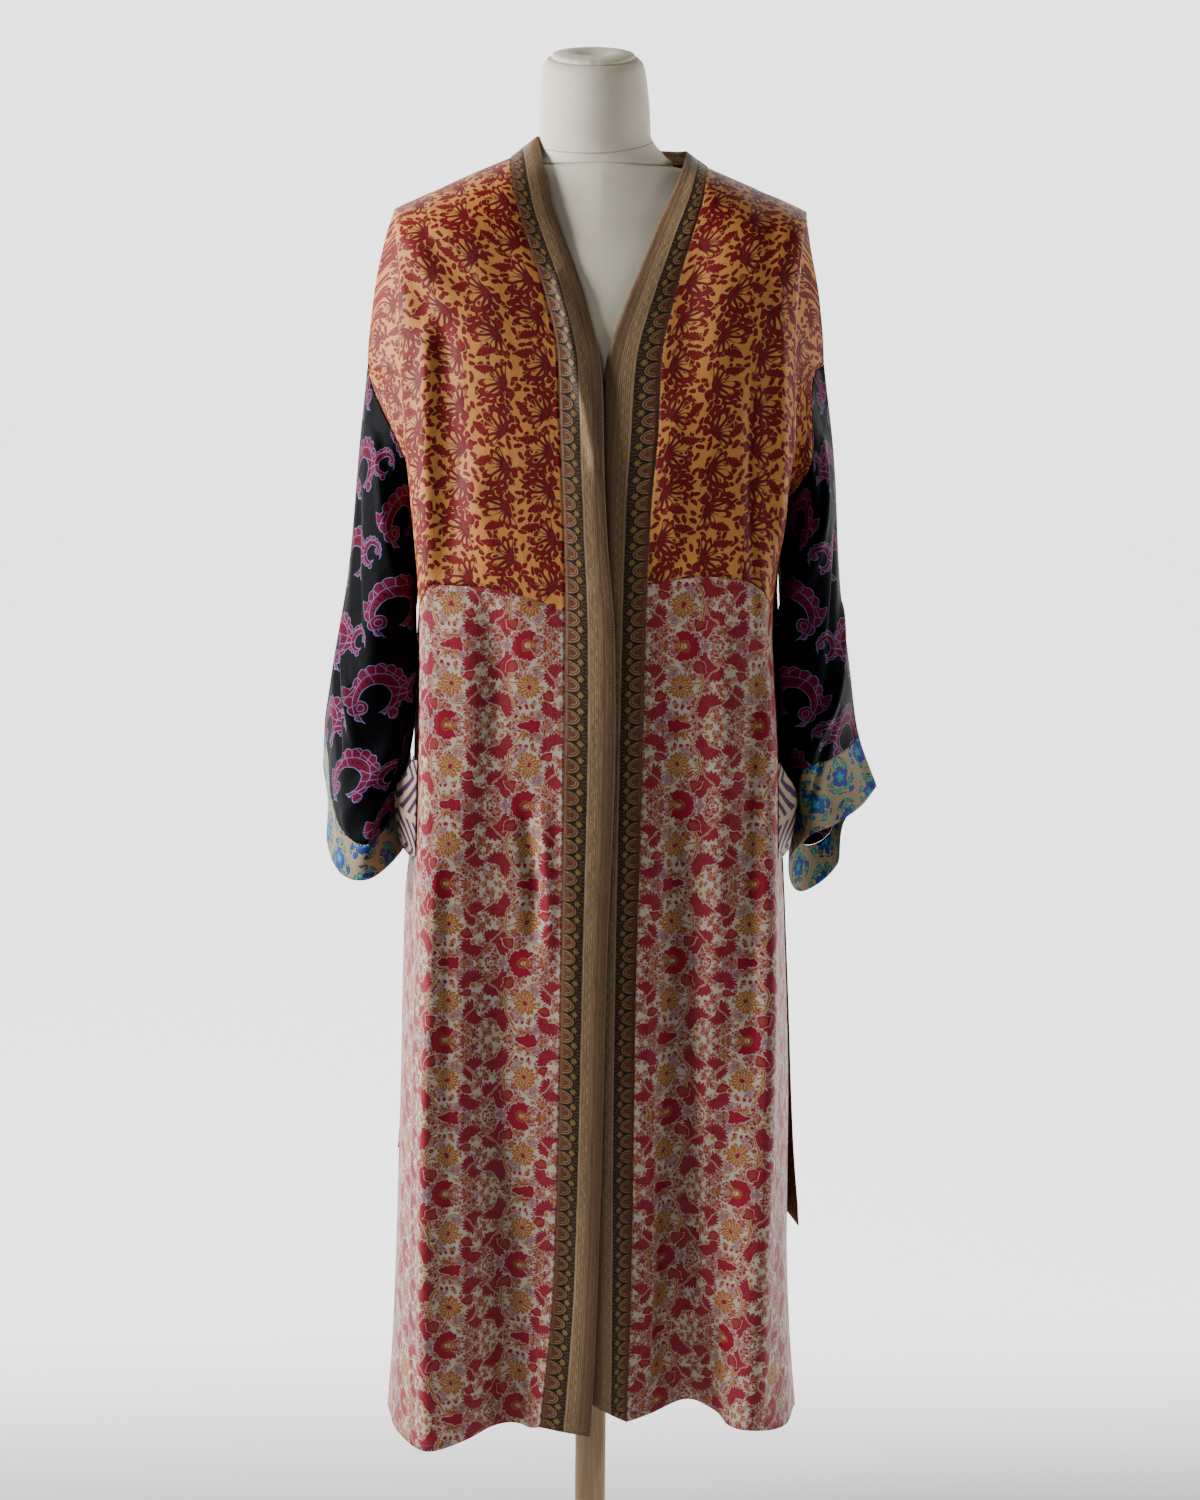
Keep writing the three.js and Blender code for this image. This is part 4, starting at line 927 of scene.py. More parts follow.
def bandCloth(u, v):
    parts = border(u, v)
    colour = mixed(mapped(u, 23.8, 24.2), inks["pine"], inks["taupe"])
    colour = painted(colour, parts["comb"], "comb")
    colour = painted(colour, parts["crowns"], "crown")
    colour = painted(colour, parts["bulb"] - 1.3, "pine")
    colour = painted(colour, parts["bulb"] - 0.2, "comb")
    colour = painted(colour, most(size(parts["bulb"] + 1.3) - 0.4, 4 - u), "pale")
    colour = painted(colour, most(size(parts["bulb"] + 4) - 0.4, 6 - u), "pale")
    colour = painted(colour, most(parts["scroll"], size(u - 30.5) - 4), "pale")
    colour = painted(colour, most(parts["lines"], size(u - 31) - 8), "pale")
    ribs = most(size(wrapped(v, 2.6)) - 0.75, bandFlat - 8 - u, u - bandFlat + 1.2)
    return painted(colour, ribs, "rib", 0.25)


def sleeveCloth(u, v):
    body, veins, dots = sleevePrint(u, v)
    colour = painted(inks["black"], body - 0.3, "ice")
    colour = painted(colour, body + 0.3, "magenta")
    colour = painted(colour, most(dots, body + 1), "plum")
    return painted(colour, most(veins + 0.15, body + 0.8), "ice")


def cuffCloth(u, v):
    flower, petals, patch, pick = cuffPrint(u, v)
    colour = painted(inks["stone"], patch - 0.2, "ink")
    leaves = mixed(mapped(pick, 0.7, 0.72), inks["teal"], inks["blue"])
    colour = mixed(inside(patch + 0.7), colour, leaves)
    colour = painted(colour, flower - 0.8, "ink")
    colour = painted(colour, flower, "blue")
    colour = painted(colour, most(petals, flower), "ink")
    return painted(colour, flower + 5.5, "teal")


def pocketCloth(u, v):
    return painted(inks["milk"], keyPrint(u * 0.42, v * 0.42), "violet")


def beltCloth(u, v):
    return painted(inks["olive"], beltPrint(u, v), "brass")


silkGroup()
gold = silk("gold_print", goldCloth)
floral = silk("floral_print", floralCloth, wobble=6.0)
band = silk("border_weave", bandCloth, threads=0.8, wobble=0.8)
black = silk("black_print", sleeveCloth, gloss=0.04)
cuffPrinted = silk("cuff_print", cuffCloth)
pocketPrinted = silk("pocket_print", pocketCloth)
olive = silk("belt_print", beltCloth)


# Material whose colour and relief follow the place on the piece, in millimetres
def placed(name, roughness, build):
    material = plainMaterial(name, (1, 1, 1), roughness)
    tree = material.node_tree
    where, split = tree.nodes.new("ShaderNodeTexCoord"), tree.nodes.new("ShaderNodeSeparateXYZ")
    tree.links.new(where.outputs["Object"], split.inputs[0])
    colour, height = build(*[Signal(tree, split.outputs[i]) * 1000 for i in range(3)])
    shader, bump = tree.nodes["Principled BSDF"], tree.nodes.new("ShaderNodeBump")
    bump.inputs["Distance"].default_value = 0.0004
    bump.inputs["Strength"].default_value = 0.5
    feed(tree, shader.inputs["Base Color"], colour)
    feed(tree, bump.inputs["Height"], height)
    tree.links.new(bump.outputs[0], shader.inputs["Normal"])
    shader.inputs["Specular IOR Level"].default_value = 0.2
    return material


def mottle(x, y, z, detail=2.0):
    join, noise = x.tree.nodes.new("ShaderNodeCombineXYZ"), x.tree.nodes.new("ShaderNodeTexNoise")
    for target, value in zip(join.inputs, (x, y, z)):
        feed(x.tree, target, value)
    noise.inputs["Scale"].default_value = 1
    noise.inputs["Detail"].default_value = detail
    x.tree.links.new(join.outputs[0], noise.inputs["Vector"])
    return Signal(x.tree, noise.outputs[0])


# Plain jersey of the form with a small stain on the chest
def jersey(x, y, z):
    wear = mottle(x * 0.02, y * 0.02, z * 0.015, 3.0)
    knit = sine(angle(x, y) * 420) * 0.5 + sine(z * 4) * 0.5
    colour = mixed(mapped(wear, 0.35, 0.75), (0.88, 0.82, 0.66), (0.80, 0.73, 0.57))
    spot = most(root((x + 25) * (x + 25) + (z - 1470) * (z - 1470)) - 1.6, y)
    return mixed(inside(spot, 0.8) * 0.6, colour, (0.3, 0.22, 0.14)), knit * 0.3 + wear


def grain(x, y, z):
    rings = size(sine(mottle(x * 0.05, y * 0.05, z * 0.004, 3.0) * 26 + x * 0.1))
    fine = mottle(x * 0.8, y * 0.8, z * 0.03)
    return mixed(rings * 0.5 + fine * 0.3, (0.56, 0.41, 0.26), (0.40, 0.27, 0.15)), fine


formCloth = placed("form_cloth", 0.9, jersey)
wood = placed("light_wood", 0.45, grain)

def across(count, lobe):
    return np.concatenate([np.linspace(0, 1, count), np.linspace(1, 2, lobe + 1)[1:]])


rightLeft = {-1: "right", 1: "left"}
chest = across(46, 26)
upperRows = np.concatenate([np.linspace(0, 4, 18), np.linspace(4, 13, 68)[1:]])
skirtRows = np.linspace(0, 1, 130)

# Upper and lower fronts
for sign, side in sides.items():
    name = rightLeft[sign]
    grid = upperGrid(side, -1, chest, upperRows, side["levels"])
    places = clothPlaces(grid)
    grid = bodyCreased(grid, -1, chest)
    piece = clothPiece(f"robe_upper_front_{name}", grid, places, axisCentre(grid), [gold],
                       node=f"upper_front_{name}")
    grid = skirtGrid(side, -1, chest, skirtRows, side["levels"])
    places = clothPlaces(grid)
    grid = bodyCreased(grid, -1, chest)
    stitchAlong("hem", grid, axisCentre(grid), row=-2)
    stitchAlong("seam", grid, axisCentre(grid), row=1)
    piece = clothPiece(f"robe_lower_front_{name}", grid, places, axisCentre(grid), [floral],
                       node=f"lower_front_{name}")


# Cloth coordinates counted from the middle column
def centred(places):
    middle = places.shape[1] // 2
    places[..., 0] -= places[:, middle:middle + 1, 0]
    return places


# Back panels
fromMiddle = np.concatenate([chest[::-1], chest[1:]])
grid = bothHalves(lambda side: upperGrid(side, 1, chest, upperRows, levelsBack))
places = centred(clothPlaces(grid))
grid = bodyCreased(grid, 1, fromMiddle)
piece = clothPiece("robe_upper_back", grid, places, axisCentre(grid), [gold], node="upper_back")
grid = bothHalves(lambda side: skirtGrid(side, 1, chest, skirtRows, levelsBack))
places = centred(clothPlaces(grid))
grid = bodyCreased(grid, 1, fromMiddle)
stitchAlong("hem", grid, axisCentre(grid), row=-2)
stitchAlong("seam", grid, axisCentre(grid), row=1)
piece = clothPiece("robe_lower_back", grid, places, axisCentre(grid), [floral], node="lower_back")
print("panels done")


# Front bands, from the panel's seam to the free edge
def bandGrid(side):
    upper = upperGrid(side, -1, np.array([0.0, 0.001]), upperRows, side["levels"])[:, 0]
    lower = skirtGrid(side, -1, np.array([0.0, 0.001]), skirtRows[1:], side["levels"])[:, 0]
    seam = np.concatenate([upper, lower])
    z = seam[:, 2]
    hemZ = robe["bandHemZ"][side["sign"]]
    lift = (side["edge"]["z"][0] - side["neckZ"]) * smooth(robe["liftFromZ"], side["neckZ"], z)
    edgeZ = z + lift + (hemZ - z[-1]) * smooth(z[-1] + 92, z[-1], z)
    edge = np.stack([column(side["edge"], "z", edgeZ, "x"), -column(side["edge"], "z", edgeZ, "d"),
                     edgeZ], -1)
    t = np.linspace(0, 1, 14)
    grid = lerp(seam[:, None], edge[:, None], t[None, :, None])
    index = np.arange(len(seam))
    grid[..., 1] -= 2 * np.sin(np.pi * t) * np.minimum(1, index / 12)[:, None]
    return grid


for sign, side in sides.items():
    name = rightLeft[sign]
    grid = bandGrid(side)
    places = clothPlaces(grid)
    places[..., 0] = np.linspace(0, bandFlat, grid.shape[1])[None] * mm
    grid = bodyCreased(grid, -1)
    stitchAlong("band", grid, axisCentre(grid), col=0)
    stitchAlong("band", grid, axisCentre(grid), col=10)
    stitchAlong("band", grid, axisCentre(grid), row=-3)
    piece = clothPiece(f"robe_front_band_{name}", grid, places, axisCentre(grid), [band],
                       node=f"front_band_{name}")

# Back neck band
neckColumns = np.linspace(0, neckPlace, 24)
seam = bothHalves(lambda side: upperGrid(side, 1, neckColumns, np.array([0.0, 0.01]),
                                         levelsBack))[0]
t = (seam[:, 0] - sides[-1]["neckX"]) / (sides[1]["neckX"] - sides[-1]["neckX"])
top = np.stack([column(neckBand, "t", t, n) for n in "xyz"], -1)
rise = np.linspace(0, 1, 8)
grid = lerp((seam + np.array([0, 0, 1.2]))[None], top[None], rise[:, None, None])
along = np.cumsum(np.concatenate([[0], np.linalg.norm(np.diff(seam, axis=0), axis=1)]))
places = np.stack(np.broadcast_arrays(rise[:, None] * bandFlat, along[None]), -1) * mm
piece = clothPiece("robe_back_neck_band", grid, places, axisCentre(grid), [band],
                   node="back_neck_band")

# Sleeves and cuffs
armTurns = [0, 0.12, 0.25, 0.38, 0.5, 0.72, 0.88]
cuffTurns = [0, 0.06, 0.12, 0.25, 0.38, 0.5, 0.72, 0.88, 0.94]
sleeveRings = {
    -1: [
        [(-251, 0, 1290), (-242, -44, 1268), (-219, -71, 1240), (-198, -58, 1215),
         (-188.3, 0, 1170), (-212, 74, 1240), (-240, 45, 1270)],
        [(-264, 8, 1164), (-257, -42, 1142), (-229, -78, 1112), (-190, -60, 1100),
         (-192.6, -2, 1085), (-222, 86, 1120), (-254, 58, 1150)],
        [(-284, 22, 1060), (-274, -30, 1035), (-250, -72, 1005), (-196, -64, 1012),
         (-195.3, -1, 1010), (-228, 92, 1040), (-270, 70, 1058)],
        [(-295, 44, 1005), (-287, 10, 968), (-282, -20, 938), (-264, -60, 902), (-231, -80, 895),
         (-200.5, 0, 947), (-228, 94, 975), (-278, 88, 1002), (-289, 70, 1008)],
        [(-298, 50, 957), (-289, 16, 920), (-287, -14, 881), (-266, -55, 854), (-232, -70, 855),
         (-205, 6, 876), (-226, 98, 905), (-280, 96, 946), (-292, 78, 956)],
    ],
    1: [
        [(247, 0, 1281), (241, -42, 1262), (230, -66, 1242), (212, -62, 1222),
         (190.3, 0, 1175), (214, 72, 1235), (238, 45, 1265)],
        [(256, 8, 1160), (250, -42, 1140), (234, -69, 1120), (192, -60, 1108),
         (195.2, 0, 1085), (218, 84, 1110), (247, 58, 1145)],
        [(270, 8, 1062), (262, -38, 1048), (242, -68, 1037), (197, -61, 1030),
         (197.8, 0, 1000), (224, 88, 985), (263, 70, 1020)],
        [(280, 5, 997), (273, -14, 994), (264, -30, 990), (242, -57, 981), (219, -64, 973),
         (208, 5, 925), (228, 68, 868), (260, 78, 880), (266, 64, 926)],
        [(300, 5, 943), (292, -12, 936), (281, -27, 927), (252, -50, 912), (220, -63, 899),
         (209, 15, 856), (227, 62, 815), (269, 80, 843), (274, 68, 893)],
    ],
}
sleevePlaces = [0, 0.3, 0.58, 0.82, 1, 1.2]


def ringPoints(ring, turn):
    turns = armTurns if len(ring) == len(armTurns) else cuffTurns
    points = np.array(ring, float)
    wrapped = np.concatenate([points[-1:], points, points[:2]])
    places = np.array([turns[-1] - 1, *turns, 1, 1 + turns[1]])
    return np.stack([through(list(wrapped[:, i]), places, turn) for i in range(3)], -1)


def sleeveGrid(sign, down, count=110):
    side = sides[sign]
    turn = np.arange(count) / count
    halfTurn = count // 2
    k = armSteps * np.where(turn <= 0.5, 2 * turn, 2 * (1 - turn))
    two = np.array([2.0])
    front = upperGrid(side, -1, two, k, side["levels"])[:, 0]
    back = upperGrid(side, 1, two, k, levelsBack)[:, 0]
    arm = np.where((turn <= 0.5)[:, None], front, back)
    arm[[0, halfTurn], 1] = 0
    arm += np.array([sign * 0.4, 0, -0.3])
    rings = [arm] + [ringPoints(ring, turn) for ring in sleeveRings[sign]]
    t = np.broadcast_to(down[:, None], (len(down), count))
    return np.stack([through([ring[None, :, i] * np.ones_like(t) for ring in rings],
                             sleevePlaces, t)
                     for i in range(3)], -1)


for sign in sides:
    name = rightLeft[sign]
    down = np.concatenate([np.linspace(0, 1, 90), np.linspace(1.001, 1.2, 20)])
    grid = sleeveGrid(sign, down)
    places = clothPlaces(grid, ring=True)
    lengths = places[:, :-1, 1] / mm - (1600 - grid[:1, :, 2])
    weight = smooth(0, 60, lengths) * smooth(1.2, 1.14, down)[:, None]
    grid = creased(grid, lengths, places[:, :-1, 0] / mm, sleeveCreases[sign], weight,
                   grid.mean(1, keepdims=True), ring=True)
    for title, rows, material, node, slotName, rests in (
            (f"robe_sleeve_{name}", slice(0, 90), black, f"sleeve_{name}", "black_silk",
             [f"robe_upper_front_{name}", "robe_upper_back"]),
            (f"robe_cuff_{name}", slice(90, None), cuffPrinted, f"cuff_{name}", "cuff_silk",
             [f"robe_sleeve_{name}"])):
        part = grid[rows]
        stitchAlong("cuff" if "cuff" in title else "sleeve", part, part.mean(1, keepdims=True),
                    row=-2 if "cuff" in title else -1, ring=True)
        piece = clothPiece(title, part, places[rows], part.mean(1, keepdims=True), [material],
                           ring=True, node=node)

# Pockets: each juts from the side seam in a fold
pocketRows = table("r frontZ foldX foldY foldZ backZ", [
    (0, 984, 191, -78, 980, 976), (0.45, 940, 211, -58, 939, 938),
    (0.85, 898, 203, -62, 888, 892), (1, 884, 194, -70, 878, 880),
])
for sign, side in sides.items():
    name = rightLeft[sign]
    r = np.linspace(0, 1, 30)
    at = lambda n: column(pocketRows, "r", r, n)
    def laid(q, z):
        points = robePoints(side, -1, q, z)
        aside = robePoints(side, -1, q + 0.01, z) - robePoints(side, -1, q - 0.01, z)
        upward = robePoints(side, -1, q, z + 2) - robePoints(side, -1, q, z - 2)
        out = np.cross(aside, upward)
        out *= np.sign(np.sum(out * points[:, :2].dot([[1, 0, 0], [0, 1, 0]]), -1))[:, None]
        return points + out / np.linalg.norm(out, axis=-1, keepdims=True) * 2.2
    front, back = laid(0.74, at("frontZ")), laid(0.95, at("backZ"))
    fold = np.stack([sign * at("foldX"), at("foldY"), at("foldZ")], -1)
    t = np.linspace(0, 1, 33)
    grid = np.stack([through([front[:, i, None], (front[:, i, None] + fold[:, i, None]) / 2,
                              fold[:, i, None], (fold[:, i, None] + back[:, i, None]) / 2,
                              back[:, i, None]], np.array([0, 0.25, 0.5, 0.75, 1]),
                             np.broadcast_to(t, (30, 33))) for i in range(3)], -1)
    places = clothPlaces(grid)
    stitchAlong("pocket", grid, axisCentre(grid), row=3)
    piece = clothPiece(f"robe_pocket_{name}", grid, places, axisCentre(grid), [pocketPrinted],
                       node=f"pocket_{name}")


# Belt: across the back waist, with an end hanging at each side
def beltPoints(side, q, z, off):
    points = robePoints(side, 1, q, z)
    aside = (robePoints(side, 1, np.minimum(q + 0.012, 1), z)
             - robePoints(side, 1, np.maximum(q - 0.012, 0), z))
    upward = robePoints(side, 1, q, z + 2) - robePoints(side, 1, q, z - 2)
    out = np.cross(aside, upward) * -side["sign"]
    return points + out / np.linalg.norm(out, axis=-1, keepdims=True) * np.asarray(off)[..., None]


beltHalf = robe["beltWidth"] / 2
beltBottom = robe["beltZ"] - beltHalf - 0.3
tailRows = table("t z low high spread", [
    (0, beltBottom, 0.86, 0.985, 0), (0.3, 860, 0.87, 0.99, 0), (0.31, 859.7, 0.87, 0.99, 0),
    (0.7, 640, 0.86, 0.975, 3), (0.86, 550, 0.855, 0.965, 7),
    (1, robe["beltTailZ"], 0.85, 0.955, 15),
])


def tailGrid(side, start, end, shift, endZ, count):
    t = np.linspace(start, end, count)
    at = lambda n: column(tailRows, "t", t, n)[:, None]
    z = lerp(beltBottom, endZ, (beltBottom - at("z")) / (beltBottom - robe["beltTailZ"]))
    wide = np.linspace(0, 1, 12)[None]
    q = lerp(at("low"), at("high"), wide) - shift
    slant = np.where(t > 0.98, -8, 0)[:, None] * (wide * 2 - 1)
    return beltPoints(side, q, z + slant, robe["beltOff"] + at("spread") * wide)


rowsOfWaist = np.linspace(-beltHalf, beltHalf, 10)[:, None] + robe["beltZ"]
grid = bothHalves(lambda side: beltPoints(side, np.linspace(0, 0.99, 80)[None], rowsOfWaist,
                                          np.full((10, 80), robe["beltOff"])))
places = clothPlaces(grid)
grid = bodyCreased(grid, 1, np.abs(np.linspace(-2, 2, grid.shape[1])))
stitchAlong("belt", grid, axisCentre(grid), row=1)
stitchAlong("belt", grid, axisCentre(grid), row=-2)
piece = clothPiece("robe_belt_waist", grid, places, axisCentre(grid), [gold], node="belt_waist")
for name, sign, start, end, shift, endZ, material, slotName in (
        ("belt_end_left_upper", 1, 0, 0.3, 0, robe["beltTailZ"], gold, "gold_silk"),
        ("belt_end_left", 1, 0.31, 1, 0, robe["beltTailZ"], olive, "olive_silk"),
        ("belt_end_right", -1, 0, 1, 0.12, robe["beltTailZ"] + 70, olive, "olive_silk")):
    grid = tailGrid(sides[sign], start, end, shift, endZ, 90)
    places = clothPlaces(grid)
    stitchAlong("belt", grid, axisCentre(grid), col=1)
    stitchAlong("belt", grid, axisCentre(grid), col=-2)
    piece = clothPiece(f"robe_{name}", grid, places, axisCentre(grid), [material], node=name)
print("cloth done")


# Node tree that sets stitches along lines: every stitch lies along its line
def stitchTree():
    tree = bpy.data.node_groups.new("stitch_line", "GeometryNodeTree")
    face = tree.interface
    face.new_socket("Geometry", in_out="INPUT", socket_type="NodeSocketGeometry")
    for name in ("Spacing", "Length", "Thick"):
        face.new_socket(name, in_out="INPUT", socket_type="NodeSocketFloat")
    face.new_socket("Thread", in_out="INPUT", socket_type="NodeSocketMaterial")
    face.new_socket("Geometry", in_out="OUTPUT", socket_type="NodeSocketGeometry")
    make, link = tree.nodes.new, tree.links.new
    start, end = make("NodeGroupInput"), make("NodeGroupOutput")
    curve, points = make("GeometryNodeMeshToCurve"), make("GeometryNodeCurveToPoints")
    points.mode = "LENGTH"
    link(start.outputs["Geometry"], curve.inputs["Mesh"])
    link(curve.outputs["Curve"], points.inputs["Curve"])
    link(start.outputs["Spacing"], points.inputs["Length"])
    stitch, stretch = make("GeometryNodeMeshUVSphere"), make("ShaderNodeCombineXYZ")
    stitch.inputs["Segments"].default_value = 6
    stitch.inputs["Rings"].default_value = 4
    stitch.inputs["Radius"].default_value = 0.5
    link(start.outputs["Thick"], stretch.inputs[0])
    link(start.outputs["Thick"], stretch.inputs[1])
    link(start.outputs["Length"], stretch.inputs[2])
    along, each = make("FunctionNodeAlignRotationToVector"), make("GeometryNodeInstanceOnPoints")
    along.axis = "Z"
    link(points.outputs["Tangent"], along.inputs["Vector"])
    link(points.outputs["Points"], each.inputs["Points"])
    link(stitch.outputs["Mesh"], each.inputs["Instance"])
    link(along.outputs["Rotation"], each.inputs["Rotation"])
    link(stretch.outputs[0], each.inputs["Scale"])
    real, paint = make("GeometryNodeRealizeInstances"), make("GeometryNodeSetMaterial")
    link(each.outputs["Instances"], real.inputs["Geometry"])
    link(real.outputs["Geometry"], paint.inputs["Geometry"])
    link(start.outputs["Thread"], paint.inputs["Material"])
    link(paint.outputs["Geometry"], end.inputs["Geometry"])
    return tree


# Makes one plain mesh of stitches from a set of lines
def stitchPiece(tree, kind, lines, thread):
    vertices, edges = [], []
    for line in lines:
        edges += [(len(vertices) + i, len(vertices) + i + 1) for i in range(len(line) - 1)]
        vertices += (line * mm).tolist()
    mesh = bpy.data.meshes.new(f"lines_{kind}")
    mesh.from_pydata(vertices, edges, [])
    carrier = bpy.data.objects.new(f"lines_{kind}", mesh)
    bpy.context.scene.collection.objects.link(carrier)
    modifier = carrier.modifiers.new("stitches", "NODES")
    modifier.node_group = tree
    sockets = {item.name: item.identifier for item in tree.interface.items_tree
               if item.in_out == "INPUT"}
    for name, value in (("Spacing", stitches["spacing"] * mm), ("Length", stitches["length"] * mm),
                        ("Thick", stitches["thick"] * mm), ("Thread", thread)):
        modifier[sockets[name]] = value
    graph = bpy.context.evaluated_depsgraph_get()
    made = bpy.data.meshes.new_from_object(carrier.evaluated_get(graph))
    carrier.modifiers.remove(modifier)
    bpy.data.objects.remove(carrier)
    made.name = f"stitches_{kind}"
    made.materials.clear()
    finishPiece(f"stitches_{kind}", made, [thread])


tree = stitchTree()
threadInks = {"hem": (0.30, 0.16, 0.10), "seam": (0.22, 0.05, 0.03), "band": (0.13, 0.075, 0.04),
              "sleeve": (0.01, 0.01, 0.012), "cuff": (0.28, 0.22, 0.13),
              "pocket": (0.3, 0.24, 0.18),
              "belt": (0.12, 0.06, 0.015)}
for kind, lines in threads.items():
    stitchPiece(tree, kind, lines, plainMaterial(f"thread_{kind}", threadInks[kind], 0.7))
print("stitches done")

# Dress form
torsoRings = table("z half front back power", [
    (850, 148, 92, 96, 2.3), (910, 162, 104, 108, 2.3), (1010, 156, 102, 104, 2.3),
    (1100, 128, 90, 82, 2.3), (1170, 116, 84, 76, 2.3), (1250, 127, 97, 80, 2.3),
    (1330, 141, 112, 88, 2.3), (1395, 152, 116, 93, 2.2), (1430, 164, 113, 96, 2.1),
    (1465, 180, 106, 97, 2), (1500, 196, 96, 92, 1.8), (1525, 205, 86, 82, 1.5),
    (1539, 206, 79, 74, 1.45), (1552, 181, 72, 68, 1.45), (1566, 149, 65, 63, 1.45),
    (1580, 117, 56, 54, 1.5), (1588, 74, 50, 47, 1.8),
])
neckRings = table("z half front back slope", [
    (1588.02, 74, 50, 47, 0), (1599, 60, 49, 48, 0.05), (1612, 57, 49, 47, 0.12),
    (1640, 56.5, 50, 46, 0.22), (1672, 54.5, 50, 44, 0.3), (1690, 51.5, 48, 41, 0.32),
    (1696, 46, 43, 37, 0.32),
])


def ovalGrid(rings, z, count=128):
    at = lambda n: column(rings, "z", z, n)[:, None]
    angle = np.linspace(0, 2 * np.pi, count, endpoint=False)[None]
    c, s = np.cos(angle), np.sin(angle)
    bend = 2 / (at("power") if "power" in rings else 2.0)
    x = at("half") * np.sign(c) * np.abs(c) ** bend
    if "slope" in rings:
        lean = 3 * smooth(1588, 1602, z) + 3 * smooth(1589, 1620, z) + 4 * smooth(1600, 1740, z)
        x = x - lean[:, None]
        x = x + 9 * np.maximum(c, 0) ** 2 * (smooth(1620, 1598, z) * smooth(1588, 1594, z))[:, None]
    y = np.where(s < 0, at("front"), at("back")) * np.sign(s) * np.abs(s) ** bend
    slope = at("slope") if "slope" in rings else 0.0
    return np.stack([x, y, z[:, None] + slope * y], -1)


def loftPiece(name, grid, materials, node):
    rows, columns = grid.shape[:2]
    vertices = np.concatenate([grid.reshape(-1, 3), grid[0].mean(0)[None], grid[-1].mean(0)[None]])
    faces = []
    for r in range(rows - 1):
        for c in range(columns):
            d = (c + 1) % columns
            faces.append((r * columns + c, r * columns + d, (r + 1) * columns + d,
                          (r + 1) * columns + c))
    low, high = rows * columns, rows * columns + 1
    for c in range(columns):
        d = (c + 1) % columns
        faces.append((d, c, low))
        faces.append(((rows - 1) * columns + c, (rows - 1) * columns + d, high))
    mesh = bpy.data.meshes.new(name)
    mesh.from_pydata((vertices * mm).tolist(), [], faces)
    piece = finishPiece(name, mesh, materials, node)
    piece.data.polygons.foreach_set("use_smooth",
                                    [len(p.vertices) > 3 for p in piece.data.polygons])
    return piece


loftPiece("dress_form_torso", ovalGrid(torsoRings, np.linspace(850, 1588, 120)), [formCloth],
          "form_torso")
loftPiece("dress_form_neck", ovalGrid(neckRings, np.linspace(1588.02, 1696, 50)), [formCloth],
          "form_neck")
capZ = 1696.3
rows = []
angle = np.linspace(0, 2 * np.pi, 128, endpoint=False)
for up, grow in zip(*np.array([
        (0, 0.96), (2, 1), (4, 0.96), (5, 0.9), (6, 0.75), (6.5, 0.6), (5, 0.395),
                               (2, 0.2)]).T):
    grow = grow * (1 + 0.012 * np.sin(22 * angle) * (grow < 0.97))
    y = np.where(np.sin(angle) < 0, 41, 35) * np.sin(angle) * grow
    rows.append(np.stack([43 * grow * np.cos(angle) - 9, y, capZ + up + 0.32 * y], -1))
loftPiece("dress_form_cap", np.array(rows), [formCloth], "form_neck_cap")

# Seam round the foot of the neck, lower in the middle of the front and of the back
neckZs = np.linspace(1590, 1640, 200)
neckGrid = ovalGrid(neckRings, neckZs)
turns = np.linspace(0, 2 * np.pi, 128, endpoint=False)
seamZ = 1600 + 10 * np.cos(turns) ** 2 + 3.5 * np.cos(turns)
seamLine = neckGrid[np.searchsorted(neckZs, seamZ), np.arange(128)]
outward = seamLine - seamLine.mean(0)
outward = outward / np.linalg.norm(outward, axis=1, keepdims=True)
turn = np.linspace(0, 2 * np.pi, 8, endpoint=False)[:, None, None]
tube = seamLine + 0.6 * (outward * np.cos(turn) + np.array([0, 0, 1]) * np.sin(turn))
mesh = bpy.data.meshes.new("dress_form_neck_seam")
faces = [(a * 128 + b, a * 128 + (b + 1) % 128, (a + 1) % 8 * 128 + (b + 1) % 128,
          (a + 1) % 8 * 128 + b)
         for a in range(8) for b in range(128)]
mesh.from_pydata((tube.reshape(-1, 3) * mm).tolist(), [], faces)
finishPiece("dress_form_neck_seam", mesh, [plainMaterial("form_seam", (0.5, 0.45, 0.34), 0.9)])
for node in ("form_collar", "form_pole", "form_base"):
    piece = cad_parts[node]
    for slotOf in piece.material_slots:
        slotOf.material = wood
print("form done")

# Floor, light and camera
light = {"backdrop": 2.3, "sky": 0.03, "window": 135, "side": 26, "fill": 10}
stageMaterial = plainMaterial("studio_floor", (0.5, 0.5, 0.5), 0.9)
stageShader = stageMaterial.node_tree.nodes["Principled BSDF"]
stageShader.inputs["Specular IOR Level"].default_value = 0
stageShader.inputs["Emission Color"].default_value = (1, 1, 1, 1)
where = stageMaterial.node_tree.nodes.new("ShaderNodeTexCoord")
height = stageMaterial.node_tree.nodes.new("ShaderNodeSeparateXYZ")
stageMaterial.node_tree.links.new(where.outputs["Object"], height.inputs[0])
glow = mapped(Signal(stageMaterial.node_tree, height.outputs["Y"]), 0.0, 0.9) * light["backdrop"]
stageMaterial.node_tree.links.new(glow.socket, stageShader.inputs["Emission Strength"])
profile = [(y, 0.0) for y in np.linspace(-1.3, 3, 12)]
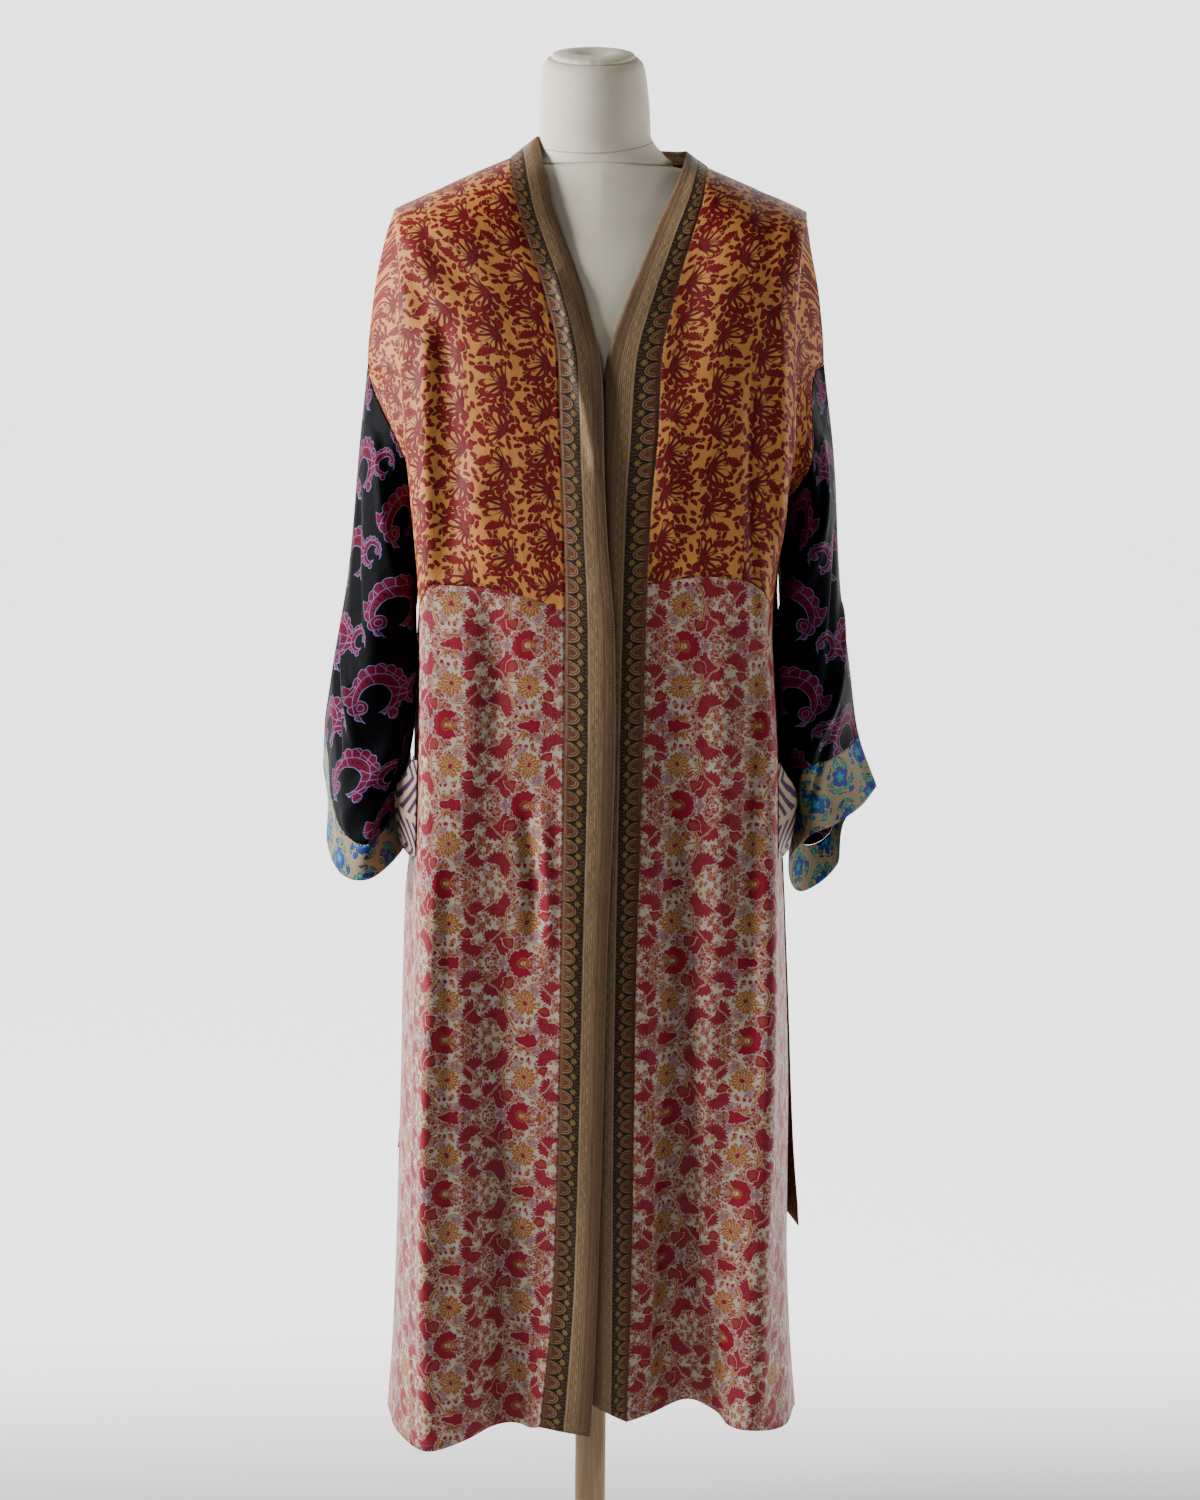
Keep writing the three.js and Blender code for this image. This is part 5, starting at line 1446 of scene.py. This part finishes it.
profile += [(3 + 2 * math.sin(t), 2 - 2 * math.cos(t)) for t in np.linspace(0.1, math.pi / 2, 12)]
profile += [(5, 8)]
mesh = bpy.data.meshes.new("studio_floor")
vertices = [(x, y, z) for y, z in profile for x in (-8, 8)]
mesh.from_pydata(vertices, [],
                 [(2 * i, 2 * i + 1, 2 * i + 3, 2 * i + 2) for i in range(len(profile) - 1)])
mesh.materials.append(stageMaterial)
mesh.polygons.foreach_set("use_smooth", [True] * len(mesh.polygons))
floor = bpy.data.objects.new("studio_floor", mesh)
bpy.context.scene.collection.objects.link(floor)

world = bpy.data.worlds.new("studio_world")
world.use_nodes = True
world.node_tree.nodes["Background"].inputs["Color"].default_value = (1, 1, 1, 1)
world.node_tree.nodes["Background"].inputs["Strength"].default_value = light["sky"]
bpy.context.scene.world = world


def areaLight(name, place, target, size, power, colour=(1, 1, 1)):
    light = bpy.data.lights.new(name, "AREA")
    light.shape, light.size, light.energy, light.color = "DISK", size, power, colour
    lamp = bpy.data.objects.new(name, light)
    lamp.location = place
    lamp.rotation_euler = (Vector(target) - Vector(place)).to_track_quat("-Z", "Y").to_euler()
    bpy.context.scene.collection.objects.link(lamp)


areaLight("window", (-2.3, -0.45, 1.9), (0, 0, 1.0), 1.3, light["window"])
areaLight("side", (2.4, -0.4, 1.4), (0, 0, 1.0), 1.3, light["side"])
areaLight("fill", (-0.9, -2.8, 2.2), (0, 0, 1.1), 1.8, light["fill"])

photo = {"distance": 2.5, "height": 1.377, "aside": 0.004, "tilt": 9, "roll": 0.5, "focal": 2370}
camera = bpy.data.cameras.new("camera")
camera.sensor_fit = "VERTICAL"
camera.sensor_height = 36
camera.lens = 36 * photo["focal"] / 1500
cameraObject = bpy.data.objects.new("camera", camera)
cameraObject.matrix_world = (
    Matrix.Translation((photo["aside"], -photo["distance"], photo["height"]))
    @ Matrix.Rotation(math.radians(90 - photo["tilt"]), 4, "X")
    @ Matrix.Rotation(math.radians(photo["roll"]), 4, "Z")
)
bpy.context.scene.collection.objects.link(cameraObject)
bpy.context.scene.camera = cameraObject
